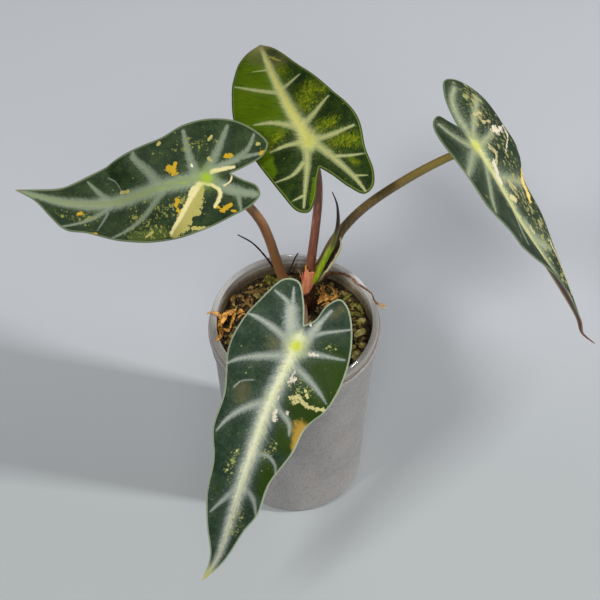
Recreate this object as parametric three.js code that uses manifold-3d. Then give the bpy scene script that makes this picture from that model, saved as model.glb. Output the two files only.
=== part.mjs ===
import * as THREE from 'three';
import { mergeVertices } from 'three/addons/utils/BufferGeometryUtils.js';
import Module from 'manifold-3d';

const wasm = await Module();
wasm.setup();

// Driving dimensions, in millimetres. The origin is the centre of the cup's flat base,
// +Z is up and the front leaf hangs towards -Y.
const RIM_RADIUS = 40;            // outermost edge of the cup's rim
const TOP_HEIGHT = 122;           // top of the inner pot's lip
const CUP_HEIGHT = 116.8;         // top of the cup's rim, which carries the lip
const CUP_BASE_RADIUS = 33.5;     // where the cup's wall meets its rounded heel
const CUP_HEEL = 5;               // radius of the rounded heel
const CUP_WALL = 1.2;
const COLLAR_HEIGHT = 8;          // plain band under the cup's rim
const COLLAR_STEP = 1.2;          // how far the collar stands out from the wall
const BEAD = 0.9;                 // half thickness of the rolled rim
const POT_MOUTH = 35.9;           // inner radius of the grow pot's mouth
const POT_WALL = 0.8;
const POT_BASE_RADIUS = 29.8;
const LIP_RADIUS = 38.9;          // outer edge of the grow pot's turned-down lip
const DRAIN_HOLES = 6;
const DRAIN_RADIUS = 2.5;
const DRAIN_CIRCLE = 18;
const SOIL_LEVEL = 112;
const SOIL_ROUGH = 0.9;           // height of the unevenness of the soil
const GAP = 0.3;                  // clearance between pieces that touch
const BLADE = 0.7;                // thickness of a leaf blade
const ROUND_STEPS = 44;           // sides of the pot and the cup
const CURVE_STEPS = 840;          // samples for lengths along a curve

// Colours and finishes
function finish(color, roughness, opacity = 1) {
  return new THREE.MeshStandardMaterial({
    color, roughness, metalness: 0, opacity, transparent: opacity < 1,
  });
}
const FROSTED = 0xb4b2b4;
const CLEAR = 0xd8dadc;
const SOIL = 0x2a2019;
const LEAF_GREEN = 0x24402a;
const STALK_BROWN = 0x6e4128;
const STALK_OLIVE = 0x4b3c1e;
const SHEATH_RED = 0xc86955;
const SHOOT_GREEN = 0x789614;
const DRIED_DARK = 0x1d1712;
const MOSS_ORANGE = 0xb9742f;
const MOSS_GREEN = 0x8a8a3a;
const CHIP_TAN = 0xa89a62;
const ROOT_BROWN = 0x9b6a48;

// Solids: closed meshes, and their joins and cuts
function toSolid(geometry) {
  const bare = geometry.clone();
  for (const name of Object.keys(bare.attributes)) {
    if (name !== 'position') bare.deleteAttribute(name);
  }
  const merged = mergeVertices(bare, 1e-4);
  return new wasm.Manifold(new wasm.Mesh({
    numProp: 3,
    vertProperties: new Float32Array(merged.attributes.position.array),
    triVerts: new Uint32Array(merged.index.array),
  }));
}

function toGeometry(solid) {
  const mesh = solid.getMesh();
  const points = [];
  for (let i = 0; i < mesh.vertProperties.length; i += mesh.numProp) {
    points.push(...mesh.vertProperties.slice(i, i + 3));
  }
  return closedGeometry(points, Array.from(mesh.triVerts));
}

function closedGeometry(points, triangles) {
  const geometry = new THREE.BufferGeometry();
  geometry.setAttribute('position', new THREE.Float32BufferAttribute(points, 3));
  geometry.setIndex(triangles);
  geometry.computeVertexNormals();
  return geometry;
}

// Cuts every cutter out of a solid and keeps the largest piece that is left
function cutAway(solid, cutters) {
  let left = solid;
  for (const cutter of cutters) left = left.subtract(cutter);
  const pieces = left.decompose();
  pieces.sort((a, b) => b.volume() - a.volume());
  return pieces[0];
}

function join(solids) {
  return solids.reduce((a, b) => a.add(b));
}

// Smooth curve through points, in three dimensions
function bend(points) {
  const curve = new THREE.CatmullRomCurve3(
    points.map((p) => new THREE.Vector3(...p)), false, 'centripetal');
  curve.arcLengthDivisions = CURVE_STEPS;
  return curve;
}

// Linear value between stations [place, value, value, ...]
function between(stations, place, column) {
  let k = 1;
  while (k < stations.length - 1 && stations[k][0] < place) k += 1;
  const [a, b] = [stations[k - 1], stations[k]];
  const w = THREE.MathUtils.clamp((place - a[0]) / (b[0] - a[0]), 0, 1);
  return a[column] + (b[column] - a[column]) * w;
}

// A round stem with a changing radius along a curve, closed at both ends
function stem(points, radii, extra = 0, sides = 8, steps = 16) {
  const curve = bend(points);
  const frames = curve.computeFrenetFrames(steps, false);
  const coords = [];
  const faces = [];
  for (let i = 0; i <= steps; i += 1) {
    const centre = curve.getPointAt(i / steps);
    const place = (i / steps) * (radii.length - 1);
    const low = Math.min(Math.floor(place), radii.length - 2);
    const radius = radii[low] + (radii[low + 1] - radii[low]) * (place - low) + extra;
    for (let j = 0; j < sides; j += 1) {
      const turn = (j / sides) * 2 * Math.PI;
      const p = centre.clone()
        .addScaledVector(frames.normals[i], Math.cos(turn) * radius)
        .addScaledVector(frames.binormals[i], Math.sin(turn) * radius);
      coords.push(p.x, p.y, p.z);
    }
  }
  for (let i = 0; i < steps; i += 1) {
    for (let j = 0; j < sides; j += 1) {
      const a = i * sides + j;
      const b = i * sides + ((j + 1) % sides);
      faces.push(a, b, a + sides, b, b + sides, a + sides);
    }
  }
  const ends = [curve.getPointAt(0), curve.getPointAt(1)];
  ends[0].addScaledVector(frames.tangents[0], -extra);
  ends[1].addScaledVector(frames.tangents[steps], extra);
  const first = coords.length / 3;
  for (const end of ends) coords.push(end.x, end.y, end.z);
  for (let j = 0; j < sides; j += 1) {
    const next = (j + 1) % sides;
    faces.push(first, next, j);
    faces.push(first + 1, steps * sides + j, steps * sides + next);
  }
  return toSolid(closedGeometry(coords, faces));
}

// A thin sheet given by its upper points, normals and triangles, made solid
function thicken(points, normals, triangles, below, above) {
  const count = points.length;
  const coords = [];
  for (const offset of [above, -below]) {
    points.forEach((p, i) => {
      const q = p.clone().addScaledVector(normals[i], offset);
      coords.push(q.x, q.y, q.z);
    });
  }
  const faces = [];
  const edges = new Map();
  for (const [a, b, c] of triangles) {
    faces.push(a, b, c, a + count, c + count, b + count);
    for (const [from, to] of [[a, b], [b, c], [c, a]]) edges.set(`${from} ${to}`, [from, to]);
  }
  for (const [from, to] of edges.values()) {
    if (!edges.has(`${to} ${from}`)) {
      faces.push(to, from, from + count, to, from + count, to + count);
    }
  }
  return closedGeometry(coords, faces);
}

// Leaf blades. A leaf lies on a curved spine that runs from behind the stalk's seat to the tip.
// A point of the blade is named by s, its distance along the spine from the seat, and t, its
// distance across it, positive to the right as seen from the stalk towards the tip.
class Leaf {
  constructor(shape) {
    this.shape = shape;
    this.curve = bend(shape.spine);
    const lengths = this.curve.getLengths(CURVE_STEPS);
    this.total = lengths[CURVE_STEPS];
    this.before = lengths[Math.round(CURVE_STEPS / (shape.spine.length - 1))];
    this.tip = this.total - this.before;
    this.halves = { left: this.margin(shape.left, -1), right: this.margin(shape.right, 1) };
  }

  // Splits a half outline, notch to tip, at its lobe's end into inner and outer margins
  margin(outline, side) {
    const curve = bend(outline.map(([s, t]) => [s, side * t, 0]));
    const samples = curve.getPoints(CURVE_STEPS / 2);
    let end = 0;
    samples.forEach((p, i) => {
      if (p.x < samples[end].x) end = i;
    });
    const rows = samples.map((p) => [p.x, p.y]);
    return {
      notch: outline[0][0],
      start: samples[end].x,
      inner: rows.slice(0, end + 1).reverse(),
      outer: rows.slice(end),
    };
  }

  frame(s) {
    const u = THREE.MathUtils.clamp((s + this.before) / this.total, 0, 1);
    const along = this.curve.getTangentAt(u).normalize();
    const past = s + this.before - u * this.total;
    const centre = this.curve.getPointAt(u).addScaledVector(along, past);
    const { facing } = this.shape;
    const up = new THREE.Vector3(...[1, 2, 3].map((k) => between(facing, s, k)));
    up.addScaledVector(along, -up.dot(along)).normalize();
    const across = new THREE.Vector3().crossVectors(along, up);
    return { centre, up, across };
  }

  point(s, t) {
    const { centre, up, across } = this.frame(s);
    const column = t >= 0 ? 2 : 1;
    const width = Math.abs(t);
    const angle = THREE.MathUtils.degToRad(between(this.shape.fold, s, column));
    const curl = between(this.shape.curl, s, column);
    const { height, length, shift } = this.shape.wave;
    const phase = 2 * Math.PI * (s / length + shift * Math.sign(t));
    const ripple = height * (width / 20) ** 2 * Math.sin(phase);
    const x = (Math.sin(angle + curl * width) - Math.sin(angle)) / curl;
    const h = (Math.cos(angle) - Math.cos(angle + curl * width)) / curl;
    return centre.addScaledVector(across, Math.sign(t) * x).addScaledVector(up, h + ripple);
  }

  // Mean normal at a point, taken from a small step to each side
  normal(s, t) {
    const step = 0.3;
    const along = this.point(s + step, t).sub(this.point(s - step, t));
    const across = this.point(s, t + step).sub(this.point(s, t - step));
    return across.cross(along).normalize();
  }

  sheet(rowsInLobe, rowsInBlade, columns) {
    const points = [];
    const normals = [];
    const triangles = [];
    const add = (s, t) => {
      points.push(this.point(s, t));
      normals.push(this.normal(s, t));
      return points.length - 1;
    };
    const { notch } = this.halves.left;
    const places = [];
    for (let i = 0; i <= rowsInBlade; i += 1) {
      places.push(notch + (this.tip - notch) * (i / rowsInBlade));
    }
    const rib = places.map((s) => add(s, 0));
    for (const [name, side] of [['left', -1], ['right', 1]]) {
      const half = this.halves[name];
      const rows = [];
      for (let i = 0; i < rowsInLobe; i += 1) {
        const s = half.start + (notch - half.start) * (i / rowsInLobe) ** 1.6;
        if (i === 0) {
          rows.push(new Array(columns + 1).fill(add(s, half.outer[0][1])));
        } else {
          const [a, b] = [between(half.inner, s, 1), between(half.outer, s, 1)];
          rows.push(Array.from({ length: columns + 1 }, (_, j) => add(s, a + (b - a) * (j / columns))));
        }
      }
      places.forEach((s, i) => {
        if (i === rowsInBlade) {
          rows.push(new Array(columns + 1).fill(rib[i]));
        } else {
          const b = between(half.outer, s, 1);
          const row = [rib[i]];
          for (let j = 1; j <= columns; j += 1) row.push(add(s, b * (j / columns)));
          rows.push(row);
        }
      });
      for (let i = 0; i + 1 < rows.length; i += 1) {
        for (let j = 0; j < columns; j += 1) {
          const corners = [rows[i][j], rows[i][j + 1], rows[i + 1][j + 1], rows[i + 1][j]];
          for (const [a, b, c] of [[0, 1, 2], [0, 2, 3]]) {
            const face = [corners[a], corners[b], corners[c]];
            if (new Set(face).size === 3) triangles.push(side > 0 ? face : [face[0], face[2], face[1]]);
          }
        }
      }
    }
    return { points, normals, triangles };
  }

  blade() {
    const { points, normals, triangles } = this.sheet(5, 20, 4);
    return thicken(points, normals, triangles, BLADE / 2, BLADE / 2);
  }

  // The space of the blade round the stalk's seat and above it, which trims the stalk's end
  seatCutter() {
    const reach = 9;
    const steps = 6;
    const points = [];
    const normals = [];
    const triangles = [];
    for (let i = 0; i <= steps; i += 1) {
      for (let j = 0; j <= steps; j += 1) {
        const s = reach * (2 * i / steps - 1);
        const t = reach * (2 * j / steps - 1);
        points.push(this.point(s, t));
        normals.push(this.normal(s, t));
      }
    }
    for (let i = 0; i < steps; i += 1) {
      for (let j = 0; j < steps; j += 1) {
        const a = i * (steps + 1) + j;
        triangles.push([a, a + 1, a + steps + 2], [a, a + steps + 2, a + steps + 1]);
      }
    }
    return toSolid(thicken(points, normals, triangles, BLADE / 2 + GAP, reach));
  }
}

const frontLeaf = new Leaf({
  spine: [[9.5, -42, 199.5], [1, -60, 184.5], [-9, -74.5, 168], [-19, -91, 143.5],
    [-25.5, -101, 122], [-32.5, -110, 99], [-40.5, -114, 82.5]],
  facing: [[-35, -0.10, -0.80, 0.60], [0, -0.15, -0.83, 0.53], [120, -0.18, -0.88, 0.45]],
  fold: [[-35, 4, 4], [0, 10, 10], [60, 14, 14], [120, 16, 16]],
  curl: [[-35, -0.006, -0.006], [60, -0.006, -0.006], [120, -0.004, -0.004]],
  wave: { height: 0.7, length: 31, shift: 0.2 },
  right: [[-9, 0], [-18.5, 3.5], [-25, 8], [-24, 14], [-13, 20.5], [-2, 24.5], [12, 25],
    [28, 19.3], [44, 18.8], [57, 14.6], [74, 13.2], [90, 9.2], [106, 3.8], [124, 0]],
  left: [[-9, 0], [-12.5, 3.6], [-19.5, 6], [-23.8, 10.5], [-21, 15], [-9, 20.8], [6, 23.5],
    [19, 22.4], [31, 17.6], [42, 16.4], [60, 11.4], [76, 10.6], [88, 7], [104, 3.8], [124, 0]],
});

const leftLeaf = new Leaf({
  spine: [[-9, 6, 220], [-36, 0, 219.3], [-53, -3, 217.7], [-75, -4, 208.2],
    [-93.5, -3, 207], [-116.5, 2, 209.5]],
  facing: [[-35, -0.05, -0.60, 0.79], [0, -0.05, -0.62, 0.78], [85, -0.10, -0.66, 0.75]],
  fold: [[-35, 3, 3], [0, 6, 6], [80, 10, 10]],
  curl: [[-35, -0.006, -0.006], [80, -0.004, -0.004]],
  wave: { height: 0.8, length: 27, shift: 0.15 },
  right: [[-10.3, 0], [-17, 1.8], [-24.5, 4.8], [-27.6, 9.5], [-24.5, 14.6], [-16, 21.2],
    [-6, 23.8], [6, 23], [15, 19.6], [28, 18], [38, 16.2], [51, 12.4], [64, 6], [74, 2.9], [84, 0]],
  left: [[-10.3, 0], [-14.5, 3.2], [-19.8, 6.8], [-20.6, 10.6], [-16.5, 14.4], [-6, 18],
    [5, 21], [16, 22.5], [29, 20.8], [41, 16.2], [52, 12.2], [60, 11.6], [67, 7], [74, 2.6], [84, 0]],
});

const backLeaf = new Leaf({
  spine: [[16.5, -12, 217], [6.3, 20, 219.4], [-1.3, 39, 218.3], [-7.5, 59, 214.4], [-15.5, 90, 208]],
  facing: [[-35, -0.10, -0.05, 0.99], [0, -0.20, 0, 0.97], [70, -0.30, 0.15, 0.94]],
  fold: [[-35, 4, 4], [0, 6, 6], [70, 8, 8]],
  curl: [[-35, -0.006, -0.006], [70, -0.004, -0.004]],
  wave: { height: 0.8, length: 33, shift: 0.1 },
  right: [[-14.5, 0], [-20, 3.6], [-28, 8], [-33.8, 13], [-32, 17.4], [-25, 20.2], [-12, 20.8],
    [0, 23], [10, 22], [22, 19.8], [35, 16.2], [48, 12], [60, 8], [68, 4.6], [74.5, 0]],
  left: [[-14.5, 0], [-20.5, 3], [-28, 6], [-34, 11], [-32, 15.2], [-22, 19], [-10, 21.8],
    [4, 24.2], [18, 25], [30, 23.8], [42, 20.6], [54, 17.2], [64, 12.8], [70.5, 7], [74.5, 0]],
});

const rightLeaf = new Leaf({
  spine: [[62, 27, 231.5], [75.5, 15, 221.5], [88, 6, 203.5], [97.5, 1, 187.5], [112, -5, 164.5],
    [127, -10, 137], [131, -11, 125.5], [137, -13, 120.5]],
  facing: [[-30, 0.54, -0.09, 0.84], [0, 0.69, -0.10, 0.72], [40, 0.83, -0.13, 0.54],
    [80, 0.87, 0.05, 0.48], [125, 0.87, 0.05, 0.48]],
  fold: [[-30, 10, 10], [0, 11, 11], [40, 5, 14], [80, 18, 28], [125, 20, 30]],
  curl: [[-30, -0.004, -0.004], [125, -0.004, -0.004]],
  wave: { height: 0.6, length: 35, shift: 0.3 },
  left: [[-11, 0], [-17, 2], [-25, 6], [-29.6, 11.5], [-27, 17], [-18, 21.8], [-6, 24.2],
    [8, 25.8], [22, 25.4], [36, 23.6], [48, 20], [60, 16.2], [74, 11], [86, 6.6], [98, 3.4],
    [108, 1.4], [123, 0]],
  right: [[-11, 0], [-15, 3.2], [-20, 7], [-19, 14], [-11, 20.6], [-2, 24.6], [8, 24], [22, 22],
    [36, 19], [50, 15.4], [62, 12], [76, 8.4], [90, 5.4], [106, 2.6], [123, 0]],
});

// Leaf stalks, from the crown to the underside of each blade
const stalkPaths = {
  back: [[4.6, 16.4, 123], [5.4, 16.3, 130], [6.3, 16.4, 137.5], [8.7, 16.8, 152.5], [9.8, 17.6, 167.5],
    [10.4, 18.6, 182], [10.2, 19.6, 196], [8.6, 20, 208], [6.4, 20, 220.5]],
  right: [[7.2, 15.6, 123], [8, 15.5, 127.5], [9.9, 15.4, 135.5], [13.3, 15.3, 146.2],
    [18.2, 15.5, 160.8], [28.8, 15.5, 180.1], [45.4, 15.5, 198.6], [64.7, 15.5, 214.8],
    [71.5, 15.2, 218.9], [76.3, 14.9, 222.4]],
  left: [[2.6, 15.2, 117], [-0.6, 14.4, 124.6], [-5.3, 13.5, 135.8], [-8.7, 12, 153.1],
    [-10.9, 10.5, 166.2], [-14.8, 8.5, 182.3], [-22.8, 5, 200.9], [-29.6, 2.6, 211.6],
    [-36.3, -0.6, 220.4]],
  front: [[3, 14.8, 113.5], [3.3, 10, 118], [3.7, -2, 132], [4, -18, 149], [3.7, -36, 165],
    [2.4, -50, 176.5], [0.9, -60.8, 185.6]],
};
const stalkRadii = {
  back: [2, 1.85, 1.85, 1.85, 1.75],
  right: [2.2, 2.1, 2, 1.9, 1.6],
  left: [2.2, 2.2, 2.1, 2, 1.8],
  front: [2.2, 2.1, 2, 1.9, 1.8],
};
const STALK_STEPS = 16;

function stalk(name, extra = 0) {
  return stem(stalkPaths[name], stalkRadii[name], extra, 8, STALK_STEPS);
}

// The rolled new leaf, with its fine dark point
const shootPath = [[7.6, 12, 124], [8.8, 11.7, 131], [10.6, 11.4, 139.4], [13.1, 11, 149.6],
  [15.3, 11, 158.3], [17.7, 10.5, 167.6], [19, 10.5, 175.9], [19, 10, 185.3], [18.3, 10, 191.9],
  [16.3, 10, 199.1]];
const shootRadii = [1.4, 1.6, 1.65, 1.5, 1.15, 0.8, 0.4];

function shoot(extra = 0) {
  return stem(shootPath, shootRadii, extra, 8, STALK_STEPS);
}

// The crown: the short stem over its corm, leaning a little to the right
const crownPath = [[2, 16.5, 95], [2.2, 16.4, 101], [2.6, 16, 107], [3, 15.6, 112.5], [4.4, 15.1, 119],
  [5.6, 14.7, 125]];
const crownRadii = [3, 6.2, 6, 4.9, 3.9, 3.4];

function crownBody(extra = 0) {
  return stem(crownPath, crownRadii, extra, 12, 10);
}

// A curved sheet that hugs a leaning axis, given by its angles and its lower and upper edges
function wrap({ axis, radius, angles, low, top, rows, columns, thickness }) {
  const points = [];
  const normals = [];
  const triangles = [];
  for (let i = 0; i <= columns; i += 1) {
    const turn = THREE.MathUtils.degToRad(angles[0] + (angles[1] - angles[0]) * (i / columns));
    const upper = top(i / columns);
    for (let j = 0; j <= rows; j += 1) {
      const z = low + (upper - low) * (j / rows);
      const out = new THREE.Vector3(Math.cos(turn), Math.sin(turn), 0);
      const centre = new THREE.Vector3(between(axis, z, 1), between(axis, z, 2), z);
      points.push(centre.addScaledVector(out, between(radius, z, 1)));
      normals.push(out);
    }
  }
  for (let i = 0; i < columns; i += 1) {
    for (let j = 0; j < rows; j += 1) {
      const a = i * (rows + 1) + j;
      const b = a + rows + 1;
      triangles.push([a, b, b + 1], [a, b + 1, a + 1]);
    }
  }
  return toSolid(thicken(points, normals, triangles, thickness / 2, thickness / 2));
}

// The reddish papery sheath in front of the crown, drawn up to a point at its left
const sheathTop = [[0, 139], [0.1, 145.5], [0.2, 141.5], [0.4, 140], [0.5, 138], [0.6, 131], [0.7, 127.5],
  [1, 126]];

function cataphyll(extra = 0) {
  return wrap({
    axis: [[112, 3.2, 15.4], [120, 4.8, 14.8], [132, 6.5, 14.6], [148, 8.2, 14.8]],
    radius: [[112, 5.6], [118, 5], [128, 4.2], [136, 3.3], [148, 2.6]],
    angles: [205, 330],
    low: 113.2 - extra,
    top: (w) => extra + between(sheathTop, w, 1),
    rows: 6,
    columns: 10,
    thickness: 0.7 + 2 * extra,
  });
}

// The ragged dried edge of the last sheath, right of the shoot
const driedPath = [[11.6, 13.3, 132.5], [14.2, 13, 141.5], [16.8, 12.9, 149.5], [18.6, 12.8, 155.5],
  [20.3, 12.6, 161]];
const driedRadii = [0.5, 1.0, 1.1, 0.8, 0.4];

function driedEdge(extra = 0) {
  return stem(driedPath, driedRadii, extra, 6, 8);
}

// Height of the uneven soil
function soilHeight(x, y) {
  const swell = Math.sin(0.11 * x + 0.9) * Math.cos(0.09 * y - 0.4);
  const bumps = Math.sin(0.21 * x - 0.13 * y) * Math.cos(0.19 * y + 0.11 * x + 1.3);
  return SOIL_LEVEL + SOIL_ROUGH * (0.6 * swell + 0.4 * bumps);
}

// Dried moss strands and tufts: each is one or more stems grown together, laid on the soil.
// A point is given by x, y and the rise of the strand's middle over its resting height.
const STRAND = 0.8;               // usual radius of a strand
function laid(path) {
  return path.map(([x, y, rise]) => [x, y, soilHeight(x, y) + STRAND + GAP + rise]);
}
const mossPieces = {
  moss_loop_left: [
    { path: [[-40.1, 3.5, 123.1], [-37.4, 2.3, 123.6], [-34.9, 1.1, 122.9], [-34, 0.6, 118.6],
      [-32.8, 0.6, 113.5]], radii: [0.5, 0.7, 0.8, 0.8] },
    { path: laid([[-32.8, 1.2, 0.1], [-33.6, 6, 0.4], [-31.5, 10.2, 0.3], [-28.3, 9, 0.1],
      [-28, 4.4, 0.1], [-31.4, 0, 0.1]]), radii: [0.8, 0.8, 0.7, 0.8] },
    { path: laid([[-32, 0.4, 0.1], [-32.8, -5.2, 0.2], [-30.6, -9.4, -0.2]]), radii: [0.8, 0.8, 0.5] },
  ],
  moss_strand_left: [
    { path: laid([[-23.6, 21.6, -0.2], [-19, 22.2, 0.2], [-14, 23.9, -0.2]]), radii: [0.5, 0.6, 0.5] },
  ],
  moss_bits_left: [
    { path: laid([[-29, 16.4, -0.1], [-25.8, 18.4, 0.5], [-22.4, 16.6, 0.3], [-20.4, 14, -0.1]]),
      radii: [0.6, 1.1, 1, 0.6] },
    { path: laid([[-27.5, 13.2, -0.1], [-24.6, 15.4, 0.2], [-22.6, 16.4, 0.3]]), radii: [0.6, 0.8, 0.8] },
  ],
  moss_star_right: [
    { path: laid([[10.6, 26.8, -0.2], [12.5, 24.2, 0.3], [14.4, 20.6, 0.5], [16.6, 17.6, 0.6]]),
      radii: [0.5, 0.7, 1, 1.3] },
    { path: laid([[16.6, 17.6, 0.6], [20.4, 18, 0.4], [21.4, 21.4, 0.8], [18.6, 25, 0.7],
      [16.2, 27, -0.2]]), radii: [1.3, 0.9, 0.6, 0.5] },
    { path: laid([[16.4, 18, 0.6], [13.6, 16, 0.2], [11.6, 15.2, -0.2]]), radii: [1.1, 0.8, 0.4] },
    { path: laid([[16.4, 18, 0.6], [15.4, 15.4, 0.2], [14.4, 13.4, -0.2]]), radii: [1.1, 0.8, 0.4] },
  ],
  moss_curl_right: [
    { path: laid([[27.4, 16, -0.1], [29.4, 14.2, 0.3], [31, 12, 0.1], [32, 10, -0.1]]),
      radii: [0.7, 0.9, 0.8, 0.6] },
    { path: laid([[29.6, 13.8, 0.3], [30.8, 13.9, 0.9], [32, 12, 0.1]]), radii: [0.8, 0.7, 0.5] },
  ],
  moss_tuft_left: [
    { path: laid([[-13.4, 31.2, 0], [-12.6, 30, 1], [-11.6, 28.2, 0]]), radii: [0.9, 1.3, 0.8] },
    { path: laid([[-14.6, 28.6, 0], [-12.6, 29.6, 0.8], [-10, 30.4, 0]]), radii: [0.7, 1, 0.6] },
  ],
  moss_tuft_right: [
    { path: laid([[23.4, 17.8, 0], [24.8, 18.4, 0.8], [25.9, 20.4, 0]]), radii: [0.8, 1.2, 0.7] },
  ],
};

function moss(name) {
  return join(mossPieces[name].map(({ path, radii }) => stem(path, radii, 0, 5, 2 * path.length)));
}

// Bark and pumice chips, half sunk in the soil: place, size and turn of each
const chips = [
  { at: [31.4, 6.4], size: [1.9, 1.4, 1.2], turn: 20 },
  { at: [30.0, -1.2], size: [3.2, 1.6, 1.3], turn: 32 },
  { at: [31.4, -7.8], size: [1.7, 1.6, 1.3], turn: 0 },
  { at: [27.2, -8.8], size: [1.3, 1.1, 0.9], turn: 40 },
  { at: [28.2, -14.2], size: [3, 2, 1.5], turn: 60 },
  { at: [20.6, -21.5], size: [2.4, 1.8, 1.4], turn: 110 },
  { at: [9.5, -28.5], size: [2, 1.6, 1.3], turn: 15 },
  { at: [-7.5, -25], size: [2.8, 1.7, 1.4], turn: 150 },
  { at: [-19.5, -18.5], size: [2.1, 1.8, 1.5], turn: 70 },
  { at: [-22.5, 3.5], size: [1.9, 1.5, 1.1], turn: 35 },
  { at: [14.5, -8.5], size: [2.2, 1.5, 1.2], turn: 95 },
  { at: [-8.5, 4.5], size: [1.7, 1.3, 1.1], turn: 125 },
];

function chip({ at, size, turn }, detail = 1, widen = 1) {
  const geometry = new THREE.IcosahedronGeometry(widen, detail);
  geometry.scale(...size);
  geometry.rotateZ(THREE.MathUtils.degToRad(turn));
  geometry.translate(at[0], at[1], soilHeight(...at) + 0.25 * size[2]);
  return toSolid(geometry);
}
const SOCKET_WIDEN = 1.45;        // a coarse socket that clears the finer chip all round

// A dry root up the wall and along the lip, and two thin dry fibres that stand at the rear
const strays = {
  root_on_rim: {
    path: [[13.3, 31.9, 111], [14.2, 31.5, 113.8], [17.1, 30.3, 117.4], [20.4, 28.1, 120.1],
      [24.3, 24.8, 122.9], [26.9, 22.8, 123], [28.9, 19.8, 123], [32.3, 17.1, 123],
      [35.8, 13.7, 123], [37, 9.9, 123], [39, 7.2, 122.8], [42.2, 6.5, 122.2]],
    radii: [0.9, 0.8, 0.7, 0.6, 0.6],
    color: ROOT_BROWN,
  },
  dry_fibre_left: {
    path: [[-6.3, 32.6, 109.6], [-6.8, 32.1, 114.2], [-10.5, 31.3, 121.5], [-14.3, 31.9, 129.2],
      [-19.8, 32.2, 137.8], [-26.2, 32.7, 143]],
    radii: [0.5, 0.5, 0.4, 0.4],
    color: DRIED_DARK,
  },
  dry_fibre_back: {
    path: [[-3.4, 32.6, 109.6], [-2.7, 33, 114], [-0.3, 33.6, 122.7], [1.6, 34, 127.9]],
    radii: [0.5, 0.5, 0.4],
    color: DRIED_DARK,
  },
};

function stray(name, extra = 0) {
  const { path, radii } = strays[name];
  return stem(path, radii, extra, 6, 2 * path.length);
}

// Round pieces of the holder: profiles of radius and height
function turned(profile) {
  const outline = profile.map(([r, z]) => new THREE.Vector2(r, z));
  return new THREE.LatheGeometry(outline, ROUND_STEPS).rotateX(Math.PI / 2);
}

function arc(centre, radius, from, to, steps) {
  return Array.from({ length: steps + 1 }, (_, i) => {
    const turn = THREE.MathUtils.degToRad(from + (to - from) * (i / steps));
    return [centre[0] + radius * Math.cos(turn), centre[1] + radius * Math.sin(turn)];
  });
}

const beadCentre = [RIM_RADIUS - BEAD, CUP_HEIGHT - BEAD];
const collarFoot = beadCentre[1] - COLLAR_HEIGHT;
const wallTopRadius = RIM_RADIUS - 0.9 - COLLAR_STEP;

function outerCup() {
  const heel = CUP_BASE_RADIUS - CUP_HEEL;
  const innerHeel = CUP_HEEL - CUP_WALL;
  return turned([
    [0, 0],
    ...arc([heel, CUP_HEEL], CUP_HEEL, -90, 0, 3),
    [wallTopRadius, collarFoot - 0.8],
    [wallTopRadius + COLLAR_STEP, collarFoot + 0.4],
    ...arc(beadCentre, BEAD, -40, 180, 5),
    [beadCentre[0] - BEAD, collarFoot + 0.8],
    [wallTopRadius - CUP_WALL, collarFoot - 0.8],
    ...arc([heel, CUP_HEEL], innerHeel, 0, -90, 2),
    [0, CUP_WALL],
  ]);
}

const potFoot = CUP_WALL + GAP;
const potWallTop = POT_MOUTH - 0.4;

function innerPot() {
  const underLip = CUP_HEIGHT + GAP;
  const lipCeiling = TOP_HEIGHT - POT_WALL;
  const body = toSolid(turned([
    [0, potFoot],
    [POT_BASE_RADIUS - 2.8, potFoot],
    [POT_BASE_RADIUS, potFoot + 2.4],
    [potWallTop + POT_WALL, collarFoot - 1],
    [POT_MOUTH + POT_WALL, lipCeiling],
    [LIP_RADIUS - POT_WALL, lipCeiling],
    [LIP_RADIUS - POT_WALL, underLip],
    [LIP_RADIUS, underLip],
    [LIP_RADIUS, TOP_HEIGHT - 0.7],
    [LIP_RADIUS - 0.6, TOP_HEIGHT],
    [POT_MOUTH + 0.6, TOP_HEIGHT],
    [POT_MOUTH, TOP_HEIGHT - 0.6],
    [POT_MOUTH, TOP_HEIGHT - 7],
    [potWallTop, collarFoot - 1],
    [POT_BASE_RADIUS - POT_WALL, potFoot + 2.8],
    [POT_BASE_RADIUS - POT_WALL - 2.3, potFoot + POT_WALL],
    [0, potFoot + POT_WALL],
  ]));
  const drill = new THREE.CylinderGeometry(DRAIN_RADIUS, DRAIN_RADIUS, 4, 10).rotateX(Math.PI / 2);
  const holes = Array.from({ length: DRAIN_HOLES }, (_, i) => {
    const turn = (i / DRAIN_HOLES) * 2 * Math.PI;
    const [x, y] = [DRAIN_CIRCLE * Math.cos(turn), DRAIN_CIRCLE * Math.sin(turn)];
    return toSolid(drill.clone().translate(x, y, potFoot));
  });
  return toGeometry(cutAway(body, holes));
}

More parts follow.
